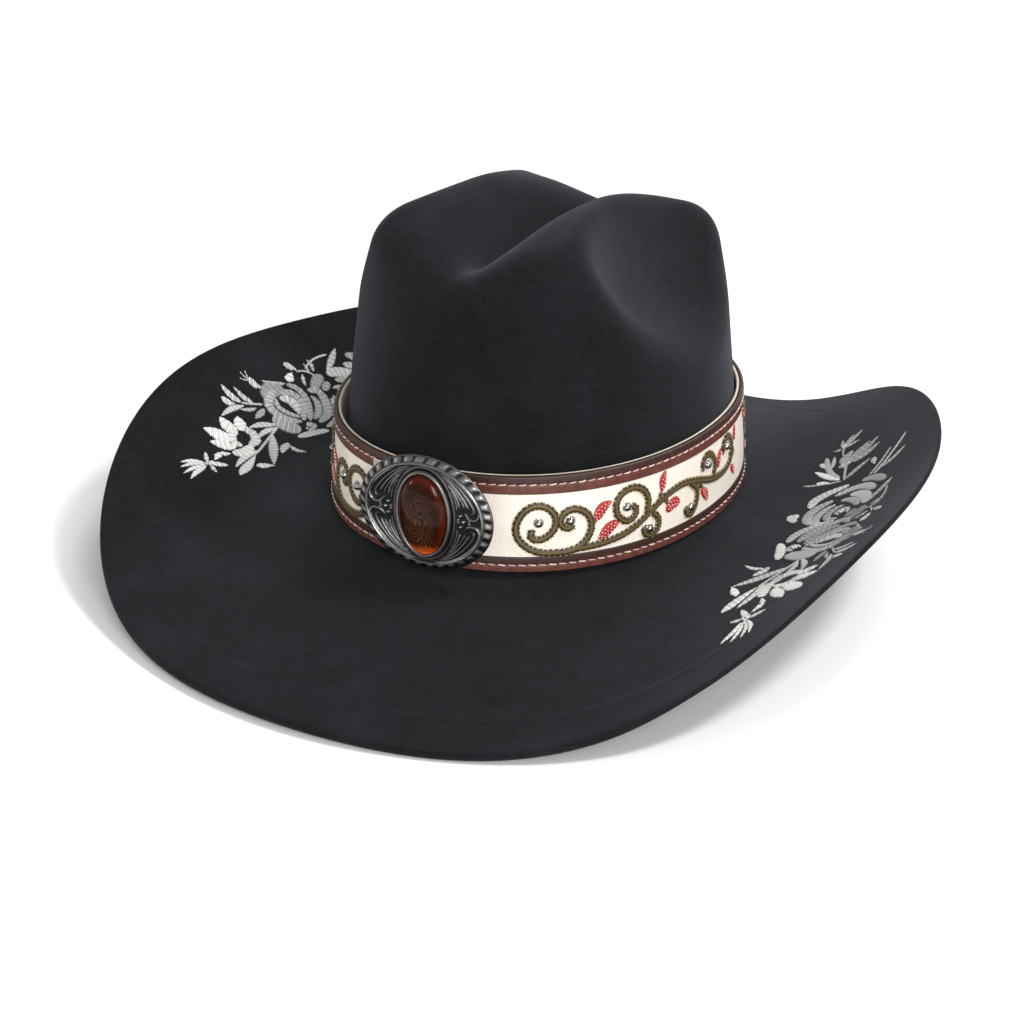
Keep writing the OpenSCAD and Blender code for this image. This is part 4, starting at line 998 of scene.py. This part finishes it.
# stitches of both bindings: short capsules that dip into the leather at each end
for name, v0, node_name, up in (("stitches_upper", V_UP, "stitching_upper", 1), ("stitches_lower", V_LO, "stitching_lower", -1)):
    s = Soup()
    n_st = 137
    for i in range(n_st):
        s0 = -296 + PITCH * i + 1.2
        if -26 < s0 < 8:
            continue
        l = np.linspace(-1.75, 1.75, 9)
        sag = -0.42 * (np.abs(l) / 1.75) ** 3
        c = on_band(s0 + l, v0 + 0.16 * l / 1.75 * up, 0.12 + sag)
        o3 = on_band(s0 + l, v0, 1.0) - on_band(s0 + l, v0, 0.0)
        r = 0.31 * np.clip(1.15 - np.abs(l / 1.75) ** 4, 0.3, 1) * (1 + 0.10 * np.cos(l * 9))
        tube(s, c, np.tile([0, 0, 1.0], (9, 1)), o3, r, 8, tone=0.52 + 0.22 * math.sin(i * 2.4))
    piece(name, s, "band", M_PINK, (node_name,), fix=True)

# --------------------------------------------------------- vine embroidery
VINES = [
    [(44.2, -1.9), (43.2, -5.2), (45.8, -6.9), (50.2, -5.6), (53.6, -1.6), (54.0, 3.2), (51.0, 7.4), (45.6, 8.9), (40.4, 6.4), (37.0, 0.6),
     (37.4, -5.4), (41.4, -10.2), (47.4, -12.9), (55.4, -13.4), (63.0, -12.4), (68.2, -8.2), (70.2, -2.4), (68.2, 3.4), (62.6, 6.3), (57.6, 4.6), (56.0, 0.6), (58.6, -2.2), (62.6, -1.6)],
    [(58.0, -13.2), (64.0, -12.4), (74, -11.8), (83, -10.4), (91, -7.8), (98, -4), (105, 0), (113, 3), (122, 4), (132, 2), (143, -1.5), (154, -3), (163, -1.4), (170, 4)],
    [(98, -3.2), (99.2, 2.6), (97.0, 8), (91.6, 10.9), (85.6, 9.8), (82.2, 5.4), (83.0, -0.5), (87.2, -3.8), (91.4, -2.6), (92.2, 1.2), (89.6, 2.8)],
    [(101.6, -3.2), (105.0, -7.4), (104.4, -12.0), (100.2, -13.9), (96.8, -11.4), (98.0, -8.4)],
    [(126, 3.2), (131.2, -1.8), (131.0, -7.6), (127.4, -12.2), (123.4, -10.8), (123.6, -7.4)],
    [(145.4, -2), (147.8, 4.0), (145.4, 9), (140.8, 11), (136.8, 8.4), (137.6, 4.6)],
    [(164.2, -0.6), (167.2, 6.6), (164.4, 11), (159.8, 11.8), (156.6, 9.0), (157.6, 5.6)],
    [(69.8, -1.6), (73.0, 0.4)],
    [(105.2, 0.6), (107.2, 5.0)],
    [(108.4, 1.4), (110.8, -1.8)],
    [(132.4, 1.6), (135.8, -3.4)],
]
STUDS = [(46.6, 0.9, 1.9), (60.6, 0.9, 1.9), (87.6, 2.6, 1.8), (100.0, -10.6, 1.7), (126.4, -9.0, 1.7), (141.2, 6.0, 1.7), (161.2, 7.4, 1.6)]
LEAVES = [(75.5, 3.4, 11.5, 4.8, 38), (79, -6.2, 13, 4.8, 30), (108.6, 9.2, 9.5, 3.8, 70), (114.4, -4.0, 9.5, 5.6, -4),
          (138.0, -7.0, 9.5, 4.4, -62), (152.6, 5.0, 9, 3.2, 64), (172.4, 10, 7, 3, 70), (168.5, -6.6, 7, 3.2, -62)]


def back(p):
    return (190 + (180 - p[0]) * 0.72, p[1])


def on_strap(x, y, up):
    return on_band(x, y, -0.62 + belly(y) + up)


vine, beads, leafs, dots = Soup(), Soup(), Soup(), Soup()
rng = np.random.default_rng(7)
for half in (0, 1):
    k = 1.0 if half == 0 else 0.80
    for side in (1, -1):
        for run in VINES:
            pts = [p if half == 0 else back(p) for p in run]
            pts = [(side * x, y) for x, y in pts]
            c, l = spline(pts, 0.42)
            t = unit(np.gradient(c, axis=0))
            n = np.stack([-t[:, 1], t[:, 0]], -1)
            big = len(run) > 5
            wid = (1.55 if big else 1.0) * k
            end = np.clip(np.minimum(l, l[-1] - l) / 1.6, 0.35, 1)
            m = len(c)
            # dark padded core, lightly twisted, with a painted gold highlight along the top of the cord
            a = np.arange(8) * 2 * PI / 8
            tw = 1 + 0.10 * np.cos(2 * a[None, :] + l[:, None] * 3.4)
            off = (np.cos(a)[None, :] * tw * (wid * end)[:, None])
            upv = 0.34 + (np.sin(a)[None, :] * tw * (0.72 * end)[:, None])
            P = c[:, None, :] + n[:, None, :] * off[..., None]
            v = on_strap(P[..., 0].ravel(), P[..., 1].ravel(), upv.ravel())
            # tone: twist stripes, plus a painted gold highlight along the cord's crown
            tn = 0.05 + 0.13 * np.cos(l[:, None] * 5.2 + 2 * a[None, :]) + 0.60 * np.clip(np.sin(a[None, :]), 0, 1) ** 4
            vine.add(v, [grid_faces(m, 8, wrap=True), list(range(8))[::-1], [(m - 1) * 8 + q for q in range(8)]], tn.ravel())
            # golden side stitches, slanted like a plait
            step = 1.22 * k
            for sgn in (1, -1):
                ls = np.arange(0.5 + (0.6 if sgn < 0 else 0), l[-1] - 0.3, step)
                cx, cy = np.interp(ls, l, c[:, 0]), np.interp(ls, l, c[:, 1])
                tx, ty = np.interp(ls, l, t[:, 0]), np.interp(ls, l, t[:, 1])
                for q in range(len(ls)):
                    tt = unit(np.array([tx[q], ty[q]]))
                    nv = np.array([-tt[1], tt[0]]) * sgn
                    e = min(1.0, 0.45 + min(ls[q], l[-1] - ls[q]) / 2)
                    cc = np.array([cx[q], cy[q]]) + nv * (wid * 0.92 * e)
                    d2 = unit(tt * 0.80 + nv * 0.75) * 0.78 * k
                    d3 = unit(np.array([-d2[1], d2[0]])) * 0.33 * k
                    up0 = 0.42
                    p0 = on_strap(cc[0], cc[1], up0)
                    ax = on_strap(cc[0] + d2[0], cc[1] + d2[1], up0 - 0.12) - p0
                    ay = on_strap(cc[0] + d3[0], cc[1] + d3[1], up0) - p0
                    az = unit(on_strap(cc[0], cc[1], up0 + 1) - p0) * 0.34
                    grain_blob(vine, p0, ax, ay, az, 0.92 if q % 2 else 0.12)
        for x, y, ln, w, ang in LEAVES:
            cx, cy = (x, y) if half == 0 else back((x, y))
            cx *= side
            an = ang if half == 0 else 180 - ang
            an = (an if side > 0 else 180 - an) * DEG
            kk = 1.0 if half == 0 else 0.72
            d = np.array([math.cos(an), math.sin(an)]) * ln * kk / 2
            bend = np.array([-d[1], d[0]]) * 0.10
            p3 = [(cx - d[0], cy - d[1]), (cx + bend[0], cy + bend[1]), (cx + d[0], cy + d[1])]
            satin(leafs, on_strap, p3, w * kk * 1.18, 0.80, 0.24, "leaf", pitch=0.9, rib=0.30, slant=0.5)
            c, l = spline(p3, 0.2)
            t = unit(np.gradient(c, axis=0))
            hw = half_width(l, w * kk, "leaf")
            rows_n = 3 if w > 4.5 else 2
            for rrow in range(rows_n):
                u = (rrow - (rows_n - 1) / 2) * (0.62 if rows_n == 3 else 0.75)
                for q, lp in enumerate(np.arange(1.2 + 0.7 * (rrow % 2), l[-1] - 1.0, 1.75)):
                    i0 = int(np.clip(np.searchsorted(l, lp), 1, len(l) - 2))
                    nv = np.array([-t[i0, 1], t[i0, 0]])
                    cc = c[i0] + nv * u * hw[i0]
                    up0 = 0.80 * math.sqrt(max(0.15, 1 - abs(u) ** 2.2)) * min(1.0, hw[i0] / (0.28 * w * kk)) ** 0.5 + 0.02
                    p0 = on_strap(cc[0], cc[1], up0)
                    dd = unit(t[i0] + nv * (0.6 if rrow % 2 else -0.2)) * 0.46
                    d3 = np.array([-dd[1], dd[0]]) * 0.52
                    ax = on_strap(cc[0] + dd[0], cc[1] + dd[1], up0) - p0
                    ay = on_strap(cc[0] + d3[0], cc[1] + d3[1], up0) - p0
                    az = unit(on_strap(cc[0], cc[1], up0 + 1) - p0) * 0.24
                    grain_blob(dots, p0, ax * 0.85, ay * 0.80, az, 1.0)
        for x, y, r in STUDS:
            cx, cy = (x, y) if half == 0 else back((x, y))
            cx *= side
            r = r * (1.16 if half == 0 else 0.84)
            p0 = on_strap(cx, cy, 0.0)
            nz = unit(on_strap(cx, cy, 1.0) - p0)
            bx = unit(np.array([-nz[1], nz[0], 0.0]))
            by = np.cross(nz, bx)
            # faceted-smooth dome on a stepped cup
            prof2 = [(r * 0.30, -0.35), (r * 1.02, -0.30), (r * 1.04, 0.10), (r * 0.96, 0.34), (r * 0.90, 0.30)]
            prof2 += [(r * 0.90 * math.cos(e * DEG), 0.32 + r * 0.86 * math.sin(e * DEG)) for e in (8, 20, 32, 44, 56, 68, 80)]
            av = np.arange(24) * 2 * PI / 24
            rows2 = [p0 + rad * (np.cos(av)[:, None] * bx + np.sin(av)[:, None] * by) + hh * nz for rad, hh in prof2]
            g = np.stack(rows2)
            n2 = len(prof2)
            vv2 = np.vstack([g.reshape(-1, 3), [p0 + nz * (0.32 + r * 0.86)], [p0 - nz * 0.35]])
            beads.add(vv2, [grid_faces(n2, 24, wrap=True)] + [[(n2 - 1) * 24 + q, (n2 - 1) * 24 + (q + 1) % 24, n2 * 24] for q in range(24)]
                      + [[(q + 1) % 24, q, n2 * 24 + 1] for q in range(24)])
piece("vine_chain_stitch", vine, "band", M_OLIVE, ("vine_embroidery",), fix=True)
piece("leaf_satin_stitch", leafs, "band", M_RED, ("leaf_embroidery",), fix=True)
piece("leaf_dot_stitches", dots, "band", M_PINK, (), fix=True)
piece("band_studs_domed", beads, "band", M_STUD, ("band_studs",), fix=True)


# ------------------------------------------------------------------ buckle
PA, PB = 32.5, 26.5
GROOVES = [  # one quarter of the scrollwork, x out, y up; width, height, points
    (1.15, 1.05, (2.6, 21.9), (8.8, 21.3), (14.8, 18.8), (20.4, 14.6), (24.9, 9.4), (26.6, 4.9), (25.2, 2.0), (21.9, 1.8), (19.6, 4.0)),
    (0.85, 0.75, (4.6, 20.9), (10.2, 19.7), (15.4, 16.6), (19.9, 12.2), (23.3, 7.6), (23.9, 4.9), (22.3, 4.1)),
    (0.95, 0.90, (7.0, 19.9), (11.8, 17.8), (16.0, 14.2), (19.3, 10.1), (21.5, 6.4)),
    (0.80, 0.70, (9.2, 18.4), (13.2, 15.5), (16.4, 11.8), (18.8, 8.0), (19.4, 6.2)),
    (0.90, 0.85, (10.8, 16.6), (14.0, 13.4), (16.2, 9.8), (17.2, 6.2)),
    (0.75, 0.65, (12.4, 14.2), (14.4, 11.0), (15.6, 7.4), (15.9, 4.6)),
    (0.85, 0.80, (13.6, 21.0), (19.0, 18.0), (23.6, 13.6), (26.9, 8.4), (27.9, 5.0)),
    (0.70, 0.60, (17.6, 20.4), (22.0, 16.9), (25.6, 12.6)),
]
NR, NP = 118, 720
ph = np.arange(NP) * 2 * PI / NP
rho_in = np.concatenate([[0.30, 0.345], np.linspace(0.37, 0.885, 70), np.linspace(0.885, 1.0, 24)[1:]])


def plate_height(x, y, rho, phi):
    field = 1.55 + 0.75 * (1 - rho ** 2)
    h = np.array(field)
    ax, ay = np.abs(x), np.abs(y)
    for w, hh, *pts in GROOVES:
        c, l = spline(pts, 0.5)
        # distance to the curve, and how far along it
        best = np.full(x.shape, 1e9)
        along = np.zeros(x.shape)
        for i in range(len(c)):
            dd = (ax - c[i, 0]) ** 2 + (ay - c[i, 1]) ** 2
            m = dd < best
            best = np.where(m, dd, best)
            along = np.where(m, l[i] / l[-1], along)
        dist = np.sqrt(best)
        taper = np.clip(np.minimum(along * 7, (1 - along) * 9 + 0.45), 0.25, 1)
        prof2 = np.clip(1 - (dist / (w * 0.62 * (0.55 + 0.45 * taper))) ** 2, 0, 1) ** 0.65
        h = np.maximum(h, field + hh * taper * prof2)
    for bx_, by_, r in ((17.6, 2.6, 0.95), (19.0, 0.0, 1.05), (16.4, 0.6, 0.75), (21.6, 0.6, 0.7)):
        dist = np.hypot(ax - bx_, ay - by_)
        h = np.maximum(h, field + 1.15 * r * np.sqrt(np.clip(1 - (dist / r) ** 2, 0, 1)))
    # fine ripples over the flat field between the scrolls
    fine = 0.05 * np.sin(11 * x + 3 * y) * np.sin(9 * y - 2 * x)
    h = h + fine * (h < field + 0.1)
    # collar round the stone's bezel
    e = np.hypot(x / 14.6, y / 21.5)
    h = np.maximum(h, field + 0.55 * np.exp(-((e - 1) * 18 / 0.75) ** 2))
    # thin raised line inside the reeded border
    d_edge = (0.885 - rho) * 29.5
    h = np.maximum(h, field + 1.55 * np.clip(1 - ((d_edge - 0.55) / 0.62) ** 2, 0, 1) ** 0.6)
    # reeded border that slopes back to the edge
    u = np.clip((rho - 0.885) / 0.115, 0, 1)
    slope = 2.75 - 1.75 * u ** 1.2
    reed = np.cos(34 * phi + 1.5 * u)
    nub = np.clip(0.5 + 0.5 * reed, 0, 1) ** 0.55
    cell = np.clip(1 - ((u - 0.52) / 0.44) ** 4, 0, 1)
    border = slope + (0.85 * nub - 0.35) * cell
    border = np.where(u > 0.93, slope, border)
    return np.where(rho > 0.885, border, h)


R, PHI = np.meshgrid(rho_in, ph, indexing="ij")
X, Y = PA * R * np.cos(PHI), PB * R * np.sin(PHI)
H = plate_height(X, Y, R, PHI)
rows = [np.stack([X, Y, GAP + H], -1)]
side_rows = []
for k, hz in enumerate((0.62, 0.30, 0.05)):
    sc = 1.0 if k < 2 else 0.992
    side_rows.append(np.stack([PA * sc * np.cos(ph), PB * sc * np.sin(ph), np.full(NP, GAP + hz)], -1))
for rr_ in (0.97, 0.80, 0.60, 0.30):
    side_rows.append(np.stack([PA * rr_ * np.cos(ph), PB * rr_ * np.sin(ph), np.full(NP, GAP + (0.0 if rr_ > 0.9 else 0.18))], -1))
G = np.concatenate([rows[0], np.stack(side_rows)], 0)
m_, n_ = G.shape[:2]
s = Soup()
tone = np.full(G.shape[:2], 0.35)
field0 = 1.55 + 0.75 * (1 - R ** 2)
tone[:len(rho_in)] = np.clip(0.02 + 0.95 * np.clip((H - field0) / 1.0, 0, 1) ** 1.6, 0, 1)
brd = R > 0.885
ub = np.clip((R - 0.885) / 0.115, 0, 1)
slope0 = 2.75 - 1.75 * ub ** 1.2
tone[:len(rho_in)] = np.where(brd, np.clip(-0.05 + 0.95 * np.clip((H - slope0 + 0.35) / 0.85, 0, 1) ** 1.5, 0.0, 1), tone[:len(rho_in)])
tone[:len(rho_in)] = np.where(R > 0.985, 0.45, tone[:len(rho_in)])
V = buckle_pts(G.reshape(-1, 3))
s.add(V, [grid_faces(m_, n_, wrap=True), list(range(n_))[::-1], [(m_ - 1) * n_ + i for i in range(n_)]], tone.ravel())
piece("buckle_plate_relief", s, "buckle", M_PEWTER, ("buckle_plate",), fix=True)


def oval_sweep(name, prof, mat, replaces, tones, n=240):
    """Ring swept round an oval; profile rows are (half width, half height, z)."""
    a = np.arange(n) * 2 * PI / n
    rows = [np.stack([p[0] * np.cos(a), p[1] * np.sin(a), np.full(n, p[2])], -1) for p in prof]
    g = np.stack(rows)
    s = Soup()
    s.add(buckle_pts(g.reshape(-1, 3)), [grid_faces(len(prof), n, wrap=True, loop=True)], np.repeat(np.asarray(tones, float), n))
    return piece(name, s, "buckle", mat, replaces, fix=True)


prof, tn = [], []
for a in np.linspace(0, 360, 28, endpoint=False):
    ca, sa = math.cos(a * DEG), math.sin(a * DEG)
    w = 1.12 * ca
    z = 2.45 + 1.75 * sa if sa > 0 else 2.45 + 0.9 * sa
    prof.append((12.55 + w, 19.45 + w, GAP + z))
    tn.append(0.34 + 0.30 * max(0, sa))
oval_sweep("stone_bezel_ring", prof, M_PEWTER, ("stone_bezel",), tn)

# domed stone
s = Soup()
n_a, n_e = 96, 34
a = np.arange(n_a) * 2 * PI / n_a
rows = [np.stack([11.6 * 0.98 * np.cos(a), 18.5 * 0.98 * np.sin(a), np.full(n_a, GAP + 1.7)], -1)]
for e in np.linspace(0, 86, n_e):
    ce, se = math.cos(e * DEG) ** 0.92, math.sin(e * DEG)
    rows.append(np.stack([11.7 * ce * np.cos(a), 18.6 * ce * np.sin(a), np.full(n_a, GAP + 3.1 + 5.4 * se)], -1))
g = np.stack(rows)
m_ = len(rows)
top_pt = np.array([[0, 0, GAP + 8.5]])
loc_v = np.vstack([g.reshape(-1, 3), top_pt, [[0, 0, GAP + 1.7]]])
s.add(buckle_pts(loc_v), [grid_faces(m_, n_a, wrap=True)] + [[(m_ - 1) * n_a + i, (m_ - 1) * n_a + (i + 1) % n_a, m_ * n_a] for i in range(n_a)]
      + [[(i + 1) % n_a, i, m_ * n_a + 1] for i in range(n_a)])
stone = piece("amber_cabochon", s, "buckle", M_AMBER, ("stone",), fix=True)
lv = np.stack([loc_v[:, 0] / 11.7, loc_v[:, 1] / 18.6, loc_v[:, 2] * 0], -1).astype(np.float32)
at = stone.data.attributes.new("local", "FLOAT_VECTOR", "POINT")
at.data.foreach_set("vector", lv.ravel())

# leather fold that holds the bail
s = Soup()
path = []
for u in np.linspace(0, 1, 8):
    path.append((-32.2 + 10.4 * u, -5.35 + 3.0 * u))
for a in np.linspace(-75, 205, 22):
    path.append((-20 + 2.75 * math.cos(a * DEG) - 0.1, 1.5 + 2.75 * math.sin(a * DEG)))
path.append((-24.6, 0.1))
path.append((-27.4, -1.5))
pth = np.array(path)
pc, pl_ = spline(pth, 0.6)
tt = unit(np.gradient(pc, axis=0))
nn2 = np.stack([-tt[:, 1], tt[:, 0]], -1)
ys = np.concatenate([[-14.0, -13.9, -13.6], np.linspace(-13, 13, 14), [13.6, 13.9, 14.0]])
thk = np.array([0.30, 0.48, 0.56] + [0.6] * 14 + [0.56, 0.48, 0.30])
m_, n_ = len(pc), len(ys)
up_s = np.stack([np.repeat(pc[:, 0:1], n_, 1) + nn2[:, 0:1] * thk, np.tile(ys, (m_, 1)), np.repeat(pc[:, 1:2], n_, 1) + nn2[:, 1:2] * thk], -1)
lo_s = np.stack([np.repeat(pc[:, 0:1], n_, 1) - nn2[:, 0:1] * thk, np.tile(ys, (m_, 1)), np.repeat(pc[:, 1:2], n_, 1) - nn2[:, 1:2] * thk], -1)
ring = np.concatenate([up_s, lo_s[:, ::-1]], 1)
s.add(buckle_pts(ring.reshape(-1, 3)), [grid_faces(m_, 2 * n_, wrap=True), list(range(2 * n_))[::-1], [(m_ - 1) * 2 * n_ + i for i in range(2 * n_)]])
piece("bail_fold_leather", s, "band", M_BACK, ("strap_fold",), fix=True)

# the small fittings behind the plate keep their own shapes
for node, mat in (("buckle_bail", M_WIRE), ("buckle_hook", M_WIRE), ("fold_snaps", M_STEEL), ("hook_eyelet", M_STEEL)):
    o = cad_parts[node]
    o.data.materials.clear()
    o.data.materials.append(mat)

# ------------------------------------------------------------------- stage
fm = bpy.data.meshes.new("floor")
fm.from_pydata([(-6, -6, 0), (6, -6, 0), (6, 6, 0), (-6, 6, 0)], [], [(0, 1, 2, 3)])
floor = bpy.data.objects.new("floor", fm)
bpy.context.scene.collection.objects.link(floor)
M_FLOOR, nt, b = mat_new("pale_floor", Roughness=0.75, Specular_IOR_Level=0.15)
nt.links.new(ramp(nt, noise(nt, coords(nt), 3.0, 2), [(0.3, (0.90, 0.90, 0.905)), (0.7, (0.92, 0.92, 0.92))]), b.inputs["Base Color"])
# far from the hat the floor brightens into the backdrop, so no horizon shows
far = add(nt, "ShaderNodeVectorMath", {0: coords(nt)}, operation="LENGTH").outputs["Value"]
nt.links.new(ramp(nt, mathn(nt, "MULTIPLY", far, 0.4), [(0.26, (0, 0, 0)), (0.70, (1, 1, 1))]), b.inputs["Emission Color"])
b.inputs["Emission Strength"].default_value = 0.62
fm.materials.append(M_FLOOR)

w = bpy.data.worlds.new("studio")
bpy.context.scene.world = w
w.use_nodes = True
nt = w.node_tree
bg = nt.nodes["Background"]
bg.inputs["Color"].default_value = (1.0, 0.995, 0.965, 1)
bg.inputs["Strength"].default_value = 0.50
seen = add(nt, "ShaderNodeBackground", {"Color": (1, 1, 1, 1), "Strength": 1.05})
mx = add(nt, "ShaderNodeMixShader", {0: add(nt, "ShaderNodeLightPath").outputs["Is Camera Ray"], 1: bg.outputs[0], 2: seen.outputs[0]})
nt.links.new(mx.outputs[0], nt.nodes["World Output"].inputs["Surface"])


def softbox(name, loc, target, size, watts, color=(1, 1, 1), size_y=None):
    l = bpy.data.lights.new(name, "AREA")
    l.energy = watts
    l.color = color
    l.shape = "RECTANGLE"
    l.size = size
    l.size_y = size_y or size
    o = bpy.data.objects.new(name, l)
    bpy.context.scene.collection.objects.link(o)
    d = Vector(target) - Vector(loc)
    o.rotation_euler = d.to_track_quat("-Z", "Y").to_euler()
    o.location = loc
    return o


softbox("key_right", (0.905, 0.33, 1.49), (0, 0, 0.05), 0.27, 16, (1.0, 0.985, 0.965))
softbox("top_back", (0.10, 1.05, 1.60), (0, 0, 0.08), 0.8, 13, (0.97, 0.985, 1.0))
softbox("front_right", (1.25, -1.38, 0.85), (0, 0, 0.08), 0.80, 28, (1.0, 0.99, 0.98))
softbox("left_glint", (-1.15, -0.70, 0.40), (0, -0.1, 0.06), 0.11, 1.5, (1.0, 0.99, 0.98), 0.30)

vs = bpy.context.scene.view_settings
vs.view_transform = "Standard"
vs.look = "None"
vs.exposure = 0.0
vs.gamma = 1.0
